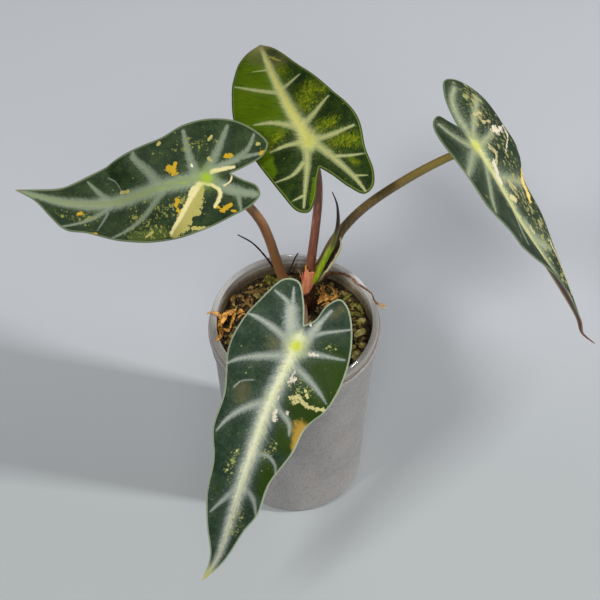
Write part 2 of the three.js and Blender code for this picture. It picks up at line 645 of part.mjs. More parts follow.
// The potting mix: a plug that follows the pot's inside, with an uneven top
function soilPlug() {
  const clear = POT_WALL + GAP;
  const sideRings = [
    [POT_BASE_RADIUS - clear - 2.4, potFoot + clear],
    [POT_BASE_RADIUS - clear, potFoot + 3.2],
    [potWallTop - GAP, collarFoot - 1],
  ];
  const topRadii = [1, 0.86, 0.7, 0.54, 0.38, 0.22, 0.09].map((w) => w * (POT_MOUTH - 2 * GAP - 0.05));
  const rings = [
    ...sideRings.map(([r, z]) => ({ r, height: () => z })),
    ...topRadii.map((r) => ({ r, height: soilHeight })),
  ];
  const coords = [];
  const faces = [];
  rings.forEach(({ r, height }) => {
    for (let j = 0; j < ROUND_STEPS; j += 1) {
      const turn = (j / ROUND_STEPS) * 2 * Math.PI;
      const [x, y] = [r * Math.cos(turn), r * Math.sin(turn)];
      coords.push(x, y, height(x, y));
    }
  });
  const bottom = coords.length / 3;
  coords.push(0, 0, sideRings[0][1], 0, 0, soilHeight(0, 0));
  for (let i = 0; i + 1 < rings.length; i += 1) {
    for (let j = 0; j < ROUND_STEPS; j += 1) {
      const a = i * ROUND_STEPS + j;
      const b = i * ROUND_STEPS + ((j + 1) % ROUND_STEPS);
      faces.push(a, b, b + ROUND_STEPS, a, b + ROUND_STEPS, a + ROUND_STEPS);
    }
  }
  const last = (rings.length - 1) * ROUND_STEPS;
  for (let j = 0; j < ROUND_STEPS; j += 1) {
    const next = (j + 1) % ROUND_STEPS;
    faces.push(bottom, next, j);
    faces.push(bottom + 1, last + j, last + next);
  }
  return toSolid(closedGeometry(coords, faces));
}

// Assembly
const plant = new THREE.Group();

function place(name, geometry, material) {
  const mesh = new THREE.Mesh(geometry, material);
  mesh.name = name;
  plant.add(mesh);
}

place('outer_cup', outerCup(), finish(FROSTED, 0.6));
place('inner_pot', innerPot(), finish(CLEAR, 0.2, 0.4));

const leaves = { front: frontLeaf, left: leftLeaf, back: backLeaf, right: rightLeaf };
for (const [name, leaf] of Object.entries(leaves)) {
  place(`blade_${name}`, leaf.blade(), finish(LEAF_GREEN, 0.4));
}

// Stalks and sheaths give way to each other where their feet press together
const feet = [];
for (const name of ['back', 'right', 'left', 'front']) {
  const body = cutAway(stalk(name), [leaves[name].seatCutter(), ...feet]);
  feet.push(stalk(name, GAP));
  place(`petiole_${name}`, toGeometry(body), finish(name === 'right' ? STALK_OLIVE : STALK_BROWN, 0.45));
}
place('new_leaf', toGeometry(cutAway(shoot(), feet)), finish(SHOOT_GREEN, 0.4));
feet.push(shoot(GAP));
place('dried_edge', toGeometry(cutAway(driedEdge(), feet)), finish(DRIED_DARK, 0.8));
feet.push(driedEdge(GAP));
place('cataphyll', toGeometry(cutAway(cataphyll(), feet)), finish(SHEATH_RED, 0.5));
feet.push(cataphyll(GAP));
place('crown', toGeometry(cutAway(crownBody(), feet)), finish(SHEATH_RED, 0.6));

const sockets = [crownBody(GAP), cataphyll(GAP)];
for (const name of Object.keys(mossPieces)) {
  const color = name.includes('curl') || name.includes('tuft') ? MOSS_GREEN : MOSS_ORANGE;
  place(name, toGeometry(moss(name)), finish(color, 0.9));
}
chips.forEach((shape, i) => {
  place(`chip_${i + 1}`, toGeometry(chip(shape)), finish(CHIP_TAN, 0.9));
  sockets.push(chip(shape, 0, SOCKET_WIDEN));
});
for (const [name, { color }] of Object.entries(strays)) {
  place(name, toGeometry(stray(name)), finish(color, 0.8));
  sockets.push(stray(name, GAP));
}
place('potting_mix', toGeometry(cutAway(soilPlug(), sockets)), finish(SOIL, 0.95));

export default plant;
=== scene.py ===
import math

import bpy
import numpy as np
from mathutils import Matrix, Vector, noise


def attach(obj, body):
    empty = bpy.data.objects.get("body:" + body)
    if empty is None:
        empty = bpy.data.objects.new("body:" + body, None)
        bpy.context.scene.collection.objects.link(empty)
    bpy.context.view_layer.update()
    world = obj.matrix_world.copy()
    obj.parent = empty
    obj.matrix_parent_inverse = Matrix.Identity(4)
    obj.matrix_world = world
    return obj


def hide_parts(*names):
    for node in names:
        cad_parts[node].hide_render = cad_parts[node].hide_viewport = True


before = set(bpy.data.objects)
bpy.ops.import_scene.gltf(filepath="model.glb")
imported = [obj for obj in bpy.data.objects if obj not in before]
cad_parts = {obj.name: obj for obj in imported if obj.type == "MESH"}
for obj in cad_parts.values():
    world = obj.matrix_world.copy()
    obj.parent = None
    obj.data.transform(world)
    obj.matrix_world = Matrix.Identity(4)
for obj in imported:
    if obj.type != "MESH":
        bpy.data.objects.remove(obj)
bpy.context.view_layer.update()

MM = 0.001                        # every size below is in millimetres

# Studio: a plain pale table top, a lamp at the right that throws the long shadow, a softer
# one high at the left, weak ones above the camera and behind, and the camera, looking down.
CAMERA_PLACE = (0.002543, -0.438493, 0.713868)
CAMERA_TILT = 37.2
CAMERA_LENS = 96
TABLE_SIDE = 6.0
LAMP_COLOUR = (1.0, 0.985, 0.96)
SKY_COLOUR = (0.86, 0.93, 1.0, 1)
SKY_STRENGTH = 0.07
LAMPS = [
    # name, place, target, side of the square lamp, watts
    ("lamp_right", (2.0, -0.42, 1.42), (0, 0, 0), 0.2, 41.0),
    ("lamp_left", (-0.82, -1.05, 2.02), (0, 0, 0), 0.38, 28.0),
    ("lamp_above_camera", (0.0, -1.5, 1.98), (0, 0, 0.1), 0.8, 14.5),
    ("lamp_back", (0.7, 1.5, 1.6), (0, 0.1, 0), 1.8, 6.5),
]

scene = bpy.context.scene
scene.view_settings.view_transform = "Standard"
camera = bpy.data.objects.new("camera", bpy.data.cameras.new("camera"))
camera.location = CAMERA_PLACE
camera.rotation_euler = (math.radians(CAMERA_TILT), 0, 0)
camera.data.lens = CAMERA_LENS
camera.data.sensor_width = 36
scene.collection.objects.link(camera)
scene.camera = camera

for name, place, target, side, watts in LAMPS:
    lamp = bpy.data.objects.new(name, bpy.data.lights.new(name, "AREA"))
    lamp.data.energy = watts
    lamp.data.size = side
    lamp.data.color = LAMP_COLOUR
    lamp.location = place
    lamp.rotation_euler = (Vector(target) - Vector(place)).to_track_quat("-Z", "Y").to_euler()
    scene.collection.objects.link(lamp)

sky = bpy.data.worlds.new("pale_room")
sky.use_nodes = True
sky.node_tree.nodes["Background"].inputs["Color"].default_value = SKY_COLOUR
sky.node_tree.nodes["Background"].inputs["Strength"].default_value = SKY_STRENGTH
scene.world = sky


def tint(red, green, blue):
    """A colour as seen on paper, 0 to 255, as the light the surface gives back."""
    return tuple(v / 12.92 if v <= 0.04045 else ((v + 0.055) / 1.055) ** 2.4
                 for v in (red / 255, green / 255, blue / 255)) + (1.0,)


class Finish:
    """The nodes of one material, added one by one."""

    def __init__(self, name, **sockets):
        self.material = bpy.data.materials.new(name)
        self.material.use_nodes = True
        self.tree = self.material.node_tree
        self.shader = self.tree.nodes["Principled BSDF"]
        self.set(self.shader, sockets)
        self.place = self.add("ShaderNodeTexCoord").outputs["Object"]

    def set(self, node, sockets):
        for key, value in sockets.items():
            socket = node.inputs[key.replace("_", " ")] if isinstance(key, str) else node.inputs[key]
            if isinstance(value, bpy.types.NodeSocket):
                self.tree.links.new(value, socket)
            else:
                socket.default_value = value

    def add(self, kind, sockets=None, **settings):
        node = self.tree.nodes.new(kind)
        for key, value in settings.items():
            setattr(node, key, value)
        self.set(node, sockets or {})
        return node

    def axis(self, number):
        """How far along x, y or z a point lies, in metres."""
        return self.add("ShaderNodeSeparateXYZ", {0: self.place}).outputs[number]

    def plane(self, x, y):
        return self.add("ShaderNodeCombineXYZ", {0: x, 1: y}).outputs[0]

    def sums(self, operation, a, b=0.0, c=0.0):
        return self.add("ShaderNodeMath", {0: a, 1: b, 2: c}, operation=operation).outputs[0]

    def times(self, a, b):
        return self.sums("MULTIPLY", a, b)

    def plus(self, a, b):
        return self.sums("ADD", a, b)

    def scaled(self, a, scale, more):
        """a times the scale, plus more."""
        return self.sums("MULTIPLY_ADD", a, scale, more)

    def step(self, value, low, high):
        """0 below low, 1 above high, smooth between; the other way round if low is the higher."""
        node = self.add("ShaderNodeMapRange", {"Value": value, "From Min": low, "From Max": high},
                        interpolation_type="SMOOTHSTEP")
        return node.outputs[0]

    def grain(self, size, detail=3.0, rough=0.55, stretch=(1, 1, 1)):
        """Cloudy noise between 0 and 1, with patches of that size in millimetres."""
        spread = self.add("ShaderNodeMapping", {"Vector": self.place, "Scale": stretch})
        node = self.add("ShaderNodeTexNoise", {"Vector": spread.outputs[0], "Scale": 1 / (size * MM),
                                               "Detail": detail, "Roughness": rough})
        return node.outputs[0]

    def cells(self, size):
        """The distance from the edges of a net of cells of that size in millimetres."""
        node = self.add("ShaderNodeTexVoronoi", {"Vector": self.place, "Scale": 1 / (size * MM)},
                        feature="DISTANCE_TO_EDGE")
        return node.outputs[0]

    def field(self, name):
        """The number stored at each point under that name."""
        return self.add("ShaderNodeAttribute", attribute_name=name).outputs["Fac"]

    def blend(self, a, b, share, *weights):
        """Colour a covered with colour b as far as the share says, times each of the weights."""
        for weight in weights:
            share = self.times(share, weight)
        node = self.add("ShaderNodeMix", data_type="RGBA")
        for socket, value in zip((node.inputs[0], node.inputs[6], node.inputs[7]), (share, a, b)):
            if isinstance(value, bpy.types.NodeSocket):
                self.tree.links.new(value, socket)
            else:
                socket.default_value = value
        return node.outputs[2]

    def relief(self, height, depth):
        """Fine bumps of that depth in millimetres."""
        node = self.add("ShaderNodeBump", {"Height": height, "Distance": depth * MM, "Strength": 1.0})
        self.set(self.shader, {"Normal": node.outputs[0]})

    def colour(self, value):
        self.set(self.shader, {"Base Color": value})

    def roughness(self, value):
        self.set(self.shader, {"Roughness": value})


def form(name, points, faces, *materials, smooth=True, crease=None):
    """An object from points in millimetres and faces."""
    mesh = bpy.data.meshes.new(name)
    mesh.from_pydata((np.asarray(points, float) * MM).tolist(), [], faces)
    for material in materials:
        mesh.materials.append(material)
    mesh.polygons.foreach_set("use_smooth", [smooth] * len(mesh.polygons))
    if crease:
        mesh.set_sharp_from_angle(angle=math.radians(crease))
    mesh.update()
    shape = bpy.data.objects.new(name, mesh)
    scene.collection.objects.link(shape)
    return shape


half = TABLE_SIDE / 2 / MM
table_paint = Finish("pale_table", Roughness=0.7)
# Painted light: the table is painted darker at the front and lighter towards the back, in place of the fall
# of the lamps' light.
painted_far_light = table_paint.step(table_paint.axis(1), -0.05, 0.15)
paper = table_paint.blend(tint(166, 172, 174), tint(191, 195, 202), painted_far_light)
table_paint.colour(table_paint.blend(paper, tint(182, 186, 191), table_paint.grain(180), 0.5))
table = form("table_top", [(-half, -half, 0), (half, -half, 0), (half, half, 0), (-half, half, 0)],
             [(0, 1, 2, 3)], table_paint.material)

# Outer cup: one thin moulding of frosted grey plastic, tapering to a rounded heel, with a
# plain band under its rolled rim. The film of fine soil on its inside shows as dark specks.
RIM_RADIUS = 40
CUP_HEIGHT = 116.8
CUP_BASE_RADIUS = 33.5
CUP_HEEL = 5
BASE_HOLLOW = 26                  # radius of the middle of the base, which stands clear of the table
HOLLOW_RISE = 0.6
CUP_WALL = 1.2
COLLAR_HEIGHT = 8
COLLAR_STEP = 1.2
BEAD = 0.9
BEAD_RADIUS = RIM_RADIUS - BEAD
BEAD_HEIGHT = CUP_HEIGHT - BEAD
COLLAR_FOOT = BEAD_HEIGHT - COLLAR_HEIGHT
WALL_TOP_RADIUS = BEAD_RADIUS - COLLAR_STEP
ROUND_STEPS = 180
CREASE = 35                       # edges bent by more degrees than this stay sharp


def arc(centre, radius, start, end, steps):
    """Points of an arc between two angles in degrees."""
    turns = np.radians(np.linspace(start, end, steps + 1))
    return [(centre[0] + radius * math.cos(a), centre[1] + radius * math.sin(a)) for a in turns]


def ringed(rings, sides):
    """The faces of a closed round skin. Its points are the rings and the two end points."""
    first = rings * sides
    end = first - sides
    faces = []
    for j in range(sides):
        k = (j + 1) % sides
        faces.append((first, k, j))
        for a in range(0, end, sides):
            b = a + sides
            faces.append((a + j, a + k, b + k, b + j))
        faces.append((first + 1, end + j, end + k))
    return faces


def turned(profile):
    """Points and faces of a round piece. Its profile of (radius, height) starts and ends on the axis."""
    turns = np.linspace(0, 2 * math.pi, ROUND_STEPS, endpoint=False)
    points = [(r * math.cos(a), r * math.sin(a), z) for r, z in profile[1:-1] for a in turns]
    points += [(0, 0, profile[0][1]), (0, 0, profile[-1][1])]
    return points, ringed(len(profile) - 2, ROUND_STEPS)


heel = (CUP_BASE_RADIUS - CUP_HEEL, CUP_HEEL)
cup_profile = [
    (0, HOLLOW_RISE), (BASE_HOLLOW, HOLLOW_RISE), (BASE_HOLLOW + HOLLOW_RISE, 0),
    *arc(heel, CUP_HEEL, -88, 0, 10),
    (WALL_TOP_RADIUS, COLLAR_FOOT - 1.0), (WALL_TOP_RADIUS + 0.3, COLLAR_FOOT - 0.5),
    (WALL_TOP_RADIUS + 0.9, COLLAR_FOOT - 0.1), (WALL_TOP_RADIUS + COLLAR_STEP, COLLAR_FOOT + 0.5),
    (BEAD_RADIUS + 0.35, BEAD_HEIGHT - 1.2), *arc((BEAD_RADIUS, BEAD_HEIGHT), BEAD, -50, 180, 14),
    (BEAD_RADIUS - BEAD, COLLAR_FOOT + 0.9), (BEAD_RADIUS - BEAD - 0.6, COLLAR_FOOT + 0.1),
    (WALL_TOP_RADIUS - CUP_WALL, COLLAR_FOOT - 0.7), *arc(heel, CUP_HEEL - CUP_WALL, 0, -90, 6),
    (0, CUP_WALL),
]
frosted = Finish("frosted_plastic", Roughness=0.42, IOR=1.46, Subsurface_Weight=0.25,
                 Subsurface_Scale=0.004)
cloud = frosted.grain(24, 4)
smear = frosted.grain(7, 4, 0.65, (1, 1, 0.45))
body = frosted.blend(tint(150, 148, 148), tint(168, 164, 162), frosted.step(cloud, 0.34, 0.66))
body = frosted.blend(body, tint(180, 168, 164), frosted.step(smear, 0.5, 0.75), 0.5)
specks = frosted.step(frosted.grain(0.62, 3, 0.75), 0.47, 0.6)
body = frosted.blend(body, tint(112, 108, 106), specks, 0.6)
glints = frosted.step(frosted.grain(0.55, 2, 0.8), 0.57, 0.68)
body = frosted.blend(body, tint(214, 210, 206), glints, 0.6)
blots = frosted.step(frosted.scaled(smear, 0.3, frosted.grain(1.5, 3, 0.65)), 0.78, 0.86)
frosted.colour(frosted.blend(body, tint(98, 88, 80), blots, 0.45))
frosted.roughness(frosted.step(frosted.grain(3), -0.6, 1.6))
frosted.relief(frosted.grain(0.5, 2), 0.06)
cup = form("frosted_cup", *turned(cup_profile), frosted.material, crease=CREASE)
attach(cup, "root")
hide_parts("outer_cup")

# Grow pot: a thin clear nursery pot that hangs in the cup by its lip, which is ringed on top,
# turned down outside and stands on the cup's rim. The wall is misted and stained by the mix. It is
# painted lighter at the back than at the front as painted light, with dark rings painted on as the
# shade in its grooves.
TOP_HEIGHT = 122
POT_MOUTH = 35.9
POT_WALL = 0.8
POT_BASE_RADIUS = 29.8
LIP_RADIUS = 38.9
LIP_CORNER = 0.7                  # how far the rounded edges of the lip reach in, outside
MOUTH_CORNER = 0.5                # and at the mouth
GAP = 0.3                         # between pieces that lie on each other
UNDER_LIP = CUP_HEIGHT + GAP
LIP_CEILING = TOP_HEIGHT - POT_WALL
POT_FOOT = CUP_WALL + GAP
POT_WALL_TOP = POT_MOUTH - 0.4
LIP_RINGS = 3                     # fine ridges moulded into the top of the lip
SKIRT_RINGS = 2                   # and into its turned-down outside
RIDGE = 0.28
DRAIN_HOLES = 6
DRAIN_RADIUS = 2.5
DRAIN_CIRCLE = 18

lip_width = LIP_RADIUS - LIP_CORNER - (POT_MOUTH + MOUTH_CORNER)
skirt_height = TOP_HEIGHT - 0.9 - UNDER_LIP


def ridges(count):
    """Shares from 0 to 1, each with the depth of a ridged face there."""
    shares = [i / (count * 6) for i in range(count * 6 + 1)]
    return [(share, RIDGE * (math.cos(share * count * 2 * math.pi) - 1) / 2) for share in shares]


lip_face = [(LIP_RADIUS + wave, UNDER_LIP + skirt_height * up) for up, wave in ridges(SKIRT_RINGS)]
lip_face += [(LIP_RADIUS - LIP_CORNER - lip_width * across, TOP_HEIGHT + wave - 0.2 * (2 * across - 1) ** 2)
             for across, wave in ridges(LIP_RINGS)]
pot_profile = [
    (0, POT_FOOT), (POT_BASE_RADIUS - 2.8, POT_FOOT), (POT_BASE_RADIUS - 1, POT_FOOT + 0.5),
    (POT_BASE_RADIUS, POT_FOOT + 2.4), (POT_WALL_TOP + POT_WALL, COLLAR_FOOT - 1),
    (POT_MOUTH + POT_WALL, TOP_HEIGHT - 6), (POT_MOUTH + POT_WALL, LIP_CEILING - 0.3),
    (POT_MOUTH + POT_WALL + 0.3, LIP_CEILING), (LIP_RADIUS - POT_WALL - 0.3, LIP_CEILING),
    (LIP_RADIUS - POT_WALL, LIP_CEILING - 0.3), (LIP_RADIUS - POT_WALL, UNDER_LIP + 0.05),
    *lip_face, (POT_MOUTH + 0.15, TOP_HEIGHT - 0.4), (POT_MOUTH, TOP_HEIGHT - 1.0),
    (POT_MOUTH - 0.02, TOP_HEIGHT - 6), (POT_WALL_TOP, COLLAR_FOOT - 1),
    (POT_BASE_RADIUS - POT_WALL, POT_FOOT + 2.8), (POT_BASE_RADIUS - 1.9, POT_FOOT + 1.2),
    (POT_BASE_RADIUS - POT_WALL - 2.3, POT_FOOT + POT_WALL), (0, POT_FOOT + POT_WALL),
]
clear = Finish("clear_plastic", Roughness=0.2, IOR=1.47, Transmission_Weight=0.12, Coat_Weight=0.5,
               Coat_Roughness=0.12)
height = clear.axis(2)
low = clear.step(height, (TOP_HEIGHT - 0.5) * MM, (TOP_HEIGHT - 7.5) * MM)
deep = clear.step(height, (TOP_HEIGHT - 2.5) * MM, (TOP_HEIGHT - 9) * MM)
# Painted light: with behind, the wall and its lower band are painted near white at the back and grey at the
# front.
behind = clear.step(clear.axis(1), -8 * MM, 26 * MM)
flat = clear.plane(clear.axis(0), clear.axis(1))
radius = clear.add("ShaderNodeVectorMath", {0: flat}, operation="LENGTH").outputs["Value"]
# Painted shade: rings draws dark lines round the wall and the lip, the shade that falls in the moulded
# grooves.
rings = clear.sums("SINE", clear.scaled(height, 2.1 / MM, clear.times(radius, 8.6 / MM)))
mist = clear.grain(7, 4)
runs = clear.grain(2.2, 4, 0.7, (1, 1, 0.3))
wall = clear.blend(tint(160, 158, 152), tint(252, 252, 252), behind)
wall = clear.blend(wall, clear.blend(tint(150, 138, 112), tint(216, 204, 176), behind), low)
wall = clear.blend(wall, tint(112, 110, 106), clear.step(rings, 0.2, 0.95), 0.4)
algae = clear.step(clear.scaled(deep, 0.2, runs), 0.46, 0.66)
wall = clear.blend(wall, tint(104, 96, 58), algae, deep, 0.5)
stain = clear.step(clear.scaled(low, 0.26, clear.scaled(runs, 0.5, clear.times(mist, 0.5))), 0.6, 0.82)
wall = clear.blend(wall, tint(120, 98, 72), stain, 0.6)
dirt = clear.step(clear.scaled(low, 0.08, clear.grain(0.9, 3, 0.75)), 0.66, 0.72)
clear.colour(clear.blend(wall, tint(66, 52, 38), dirt, clear.scaled(low, 0.6, 0.25)))
clear.roughness(clear.step(clear.scaled(low, 0.5, mist), 0.1, 2.2))
clear.relief(clear.grain(1.2, 2), 0.03)
pot = form("clear_grow_pot", *turned(pot_profile), clear.material, crease=CREASE)


def join(points, faces, more, sides):
    """Adds a body's points and faces to the lists of a larger one."""
    start = len(points)
    points += [tuple(p) for p in more]
    faces += [tuple(start + i for i in side) for side in sides]


drill, drill_sides = turned([(0, -2), (DRAIN_RADIUS, -2), (DRAIN_RADIUS, 6), (0, 6)])
points, faces = [], []
for turn in np.linspace(0, 2 * math.pi, DRAIN_HOLES, endpoint=False):
    shift = (DRAIN_CIRCLE * math.cos(turn), DRAIN_CIRCLE * math.sin(turn), 0)
    join(points, faces, np.array(drill) + shift, drill_sides)
drills = form("drain_drills", points, faces, clear.material, smooth=False)
cut = pot.modifiers.new("drain_holes", "BOOLEAN")
cut.object = drills
cut.operation = "DIFFERENCE"
cut.solver = "EXACT"
drained = bpy.data.meshes.new_from_object(pot.evaluated_get(bpy.context.evaluated_depsgraph_get()))
pot.modifiers.clear()
pot.data = drained
bpy.data.objects.remove(drills)
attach(pot, "root")
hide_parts("inner_pot")

# Potting mix: damp, nearly black peat and fine bark, filled to 10 mm under the lip and pressed
# unevenly. Crumbs, pale grit and yellow-green moss bits lie loose on it.
SOIL_LEVEL = 112
SOIL_ROUGH = 0.9
SOIL_LUMP = 3.2                   # size of the larger lumps
SOIL_GRAIN = 0.9                  # and of the smaller ones
SOIL_EDGE = POT_MOUTH - 2 * GAP - 0.05
GRIT = [                          # how many bits, their least and greatest size, and where they lie
    (130, 0.35, 1.0, lambda x, y: x > 17 and y > -17 and x + 0.4 * y > 20),
    (60, 0.35, 0.9, lambda x, y: x < -4 and y > 22),
    (40, 0.35, 0.8, lambda x, y: x < -12 and -12 < y < 22),
    (24, 0.3, 0.7, lambda x, y: x > 8 and y > 22),
]
SOIL_STEPS = 300
SOIL_TOP_RINGS = 62
LOOSE_REACH = 34.2                # loose bits end this far from the middle
CROWN_SPOT = (4, 15)
CROWN_CLEAR = 7                   # and keep this far from the crown
LOOSE_TILT = 0.4                  # most that a loose bit leans, in radians
rng = np.random.default_rng(21)


def soil_height(x, y):
    """The gentle swells of the pressed soil."""
    swell = np.sin(0.11 * x + 0.9) * np.cos(0.09 * y - 0.4)
    bumps = np.sin(0.21 * x - 0.13 * y) * np.cos(0.19 * y + 0.11 * x + 1.3)
    return SOIL_LEVEL + SOIL_ROUGH * (0.6 * swell + 0.4 * bumps)


def crumb_height(x, y):
    """The soil with its lumps."""
    coarse = noise.fractal(Vector((x / SOIL_LUMP, y / SOIL_LUMP, 0)), 1.0, 2.0, 3)
    fine = noise.noise(Vector((x / SOIL_GRAIN, y / SOIL_GRAIN, 5)))
    return float(soil_height(x, y)) + 0.75 * coarse + 0.28 * fine - 0.15


soil_rings = [
    (POT_BASE_RADIUS - 3.5, POT_FOOT + 1.1), (POT_BASE_RADIUS - 1.1, POT_FOOT + 3.2),
    (POT_WALL_TOP - GAP, COLLAR_FOOT - 1),
]
circle = np.linspace(0, 2 * math.pi, SOIL_STEPS, endpoint=False)
points = [(r * math.cos(a), r * math.sin(a), z) for r, z in soil_rings for a in circle]
for r in SOIL_EDGE * np.linspace(1, 0.012, SOIL_TOP_RINGS):
    spots = [(r * math.cos(a), r * math.sin(a)) for a in circle]
    points += [(x, y, crumb_height(x, y)) for x, y in spots]
points += [(0, 0, soil_rings[0][1]), (0, 0, crumb_height(0, 0))]
peat = Finish("damp_peat", Roughness=0.9, Specular_IOR_Level=0.25)
shade = peat.blend(tint(26, 21, 13), tint(76, 62, 38), peat.step(peat.grain(1.3, 4, 0.7), 0.4, 0.66))
shade = peat.blend(shade, tint(140, 120, 70), peat.step(peat.grain(0.9, 3, 0.7), 0.62, 0.7))
peat.colour(shade)
peat.relief(peat.grain(0.35, 3), 0.25)
soil = form("potting_mix_top", points, ringed(len(soil_rings) + SOIL_TOP_RINGS, SOIL_STEPS), peat.material)
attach(soil, "root")
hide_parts("potting_mix")


def pebble(rounds, jitter, seed):
    """Points and faces of a rough round lump of radius 1."""
    golden = (1 + 5 ** 0.5) / 2
    corners = [(-1, golden, 0), (1, golden, 0), (-1, -golden, 0), (1, -golden, 0), (0, -1, golden),
               (0, 1, golden), (0, -1, -golden), (0, 1, -golden), (golden, 0, -1), (golden, 0, 1),
               (-golden, 0, -1), (-golden, 0, 1)]
    points = [Vector(c).normalized() for c in corners]
    faces = [(0, 11, 5), (0, 5, 1), (0, 1, 7), (0, 7, 10), (0, 10, 11), (1, 5, 9), (5, 11, 4),
             (11, 10, 2), (10, 7, 6), (7, 1, 8), (3, 9, 4), (3, 4, 2), (3, 2, 6), (3, 6, 8),
             (3, 8, 9), (4, 9, 5), (2, 4, 11), (6, 2, 10), (8, 6, 7), (9, 8, 1)]
    for _ in range(rounds):
        middle = {}
        finer = []
        for face in faces:
            mids = []
            for a, b in ((face[0], face[1]), (face[1], face[2]), (face[2], face[0])):
                key = (min(a, b), max(a, b))
                if key not in middle:
                    middle[key] = len(points)
                    points.append((points[a] + points[b]).normalized())
                mids.append(middle[key])
            a, b, c = face
            finer += [(a, mids[0], mids[2]), (b, mids[1], mids[0]), (c, mids[2], mids[1]), tuple(mids)]
        faces = finer
    offset = Vector((seed * 3.7, seed * 1.3, 0))
    rough = [p * (1 + jitter * noise.fractal(p * 1.3 + offset, 1.0, 2.0, 3)) for p in points]
    return np.array([tuple(p) for p in rough]), faces


def label(shape, **fields):
    """Stores a number at each point, for the material to read."""
    for name, values in fields.items():
        store = shape.data.attributes.new(name, "FLOAT", "POINT")
        store.data.foreach_set("value", np.asarray(values, np.float32))


def spun(points, angle, a, b):
    """Points turned by an angle from axis a towards axis b."""
    out = np.array(points)
    out[:, a] = points[:, a] * math.cos(angle) - points[:, b] * math.sin(angle)
    out[:, b] = points[:, a] * math.sin(angle) + points[:, b] * math.cos(angle)
    return out


def scatter(name, spots, material, jitter=0.45, rounds=1):
    """Many loose lumps as one object. A spot is x, y, size, flatness, length and shade."""
    points, faces, shades = [], [], []
    kinds = [pebble(rounds, jitter, k) for k in range(9)]
    for n, (x, y, size, flat, long, tone) in enumerate(spots):
        lump, sides = kinds[n % len(kinds)]
        turn = rng.uniform(0, 2 * math.pi)
        lump = spun(lump * (size * long, size, size * flat), rng.uniform(-LOOSE_TILT, LOOSE_TILT), 0, 2)
        join(points, faces, spun(lump, turn, 0, 1) + (x, y, crumb_height(x, y) + 0.25 * size * flat), sides)
        shades += [tone] * len(lump)
    heap = form(name, points, faces, material)
    label(heap, shade=shades)
    return heap


def spread_over(count, sizes, flats, longs, inside):
    """Random spots on the soil that the test accepts, clear of the crown and the wall."""
    spots = []
    while len(spots) < count:
        x, y = rng.uniform(-34, 34, 2)
        size = rng.uniform(*sizes)
        flat, long = rng.uniform(*flats), rng.uniform(*longs)
        off_crown = math.hypot(x - CROWN_SPOT[0], y - CROWN_SPOT[1]) >= CROWN_CLEAR
        if math.hypot(x, y) + size * long <= LOOSE_REACH and off_crown and inside(x, y):
            spots.append((x, y, size, flat, long, rng.uniform()))
    return spots


crumbs = Finish("soil_crumbs", Roughness=0.9, Specular_IOR_Level=0.25)
tone = crumbs.field("shade")
crumb_shade = crumbs.blend(tint(36, 29, 18), tint(104, 86, 52), tone)
crumb_shade = crumbs.blend(crumb_shade, tint(150, 136, 78), crumbs.step(tone, 0.8, 0.9))
crumbs.colour(crumb_shade)
crumbs.relief(crumbs.grain(0.4, 2), 0.1)
loose = scatter("soil_crumbs", spread_over(1300, (0.3, 1.0), (0.5, 0.95), (1.0, 2.6), lambda x, y: True),
                crumbs.material)
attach(loose, "root")

grit_paint = Finish("moss_grit", Roughness=0.85, Specular_IOR_Level=0.3)
tone = grit_paint.field("shade")
grit_shade = grit_paint.blend(tint(112, 108, 44), tint(184, 176, 96), tone)
grit_shade = grit_paint.blend(grit_shade, tint(178, 146, 86), grit_paint.step(tone, 0.7, 0.8))
mottled = grit_paint.step(grit_paint.grain(0.7, 3, 0.7), 0.5, 0.64)
grit_paint.colour(grit_paint.blend(grit_shade, tint(74, 66, 28), mottled))
grit_paint.relief(grit_paint.grain(0.3, 2), 0.12)
grit_spots = []
for count, smallest, largest, inside in GRIT:
    grit_spots += spread_over(count, (smallest, largest), (0.5, 0.9), (1.0, 2.4), inside)
grit = scatter("moss_grit", grit_spots, grit_paint.material, 0.7, 2)
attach(grit, "root")

# Crown: the short leaning stem over the corm, which carries every leaf. It is painted brown-black, partly
# for damp soil on it and partly as painted shade, and it is ringed by the scars of earlier leaves.
CROWN_PATH = [(2, 16.5, 95), (2.2, 16.4, 101), (2.6, 16, 107), (3, 15.6, 112.5), (4.4, 15.1, 119),
              (5.6, 14.7, 125)]
CROWN_RADII = [3, 6.2, 6, 4.9, 3.9, 3.4]


def bend(points, steps=40):
    """Samples of a smooth curve through the points, the same number between each two."""
    p = np.asarray(points, float)
    ends = np.vstack([2 * p[0] - p[1], p, 2 * p[-1] - p[-2]])
    out = []
    for a, b, c, d in zip(ends[:-3], ends[1:-2], ends[2:-1], ends[3:]):
        before, here, after = [max(np.linalg.norm(v) ** 0.5, 1e-4) for v in (b - a, c - b, d - c)]
        leave = ((b - a) / before - (c - a) / (before + here) + (c - b) / here) * here
        arrive = ((c - b) / here - (d - b) / (here + after) + (d - c) / after) * here
        w = np.linspace(0, 1, steps, endpoint=False)[:, None]
        out.append(b + leave * w + (3 * (c - b) - 2 * leave - arrive) * w ** 2
                   + (2 * (b - c) + leave + arrive) * w ** 3)
    return np.vstack(out + [p[-1:]])


def lengths(curve):
    """How far along a curve each of its points lies."""
    return np.concatenate([[0], np.cumsum(np.linalg.norm(np.diff(curve, axis=0), axis=1))])


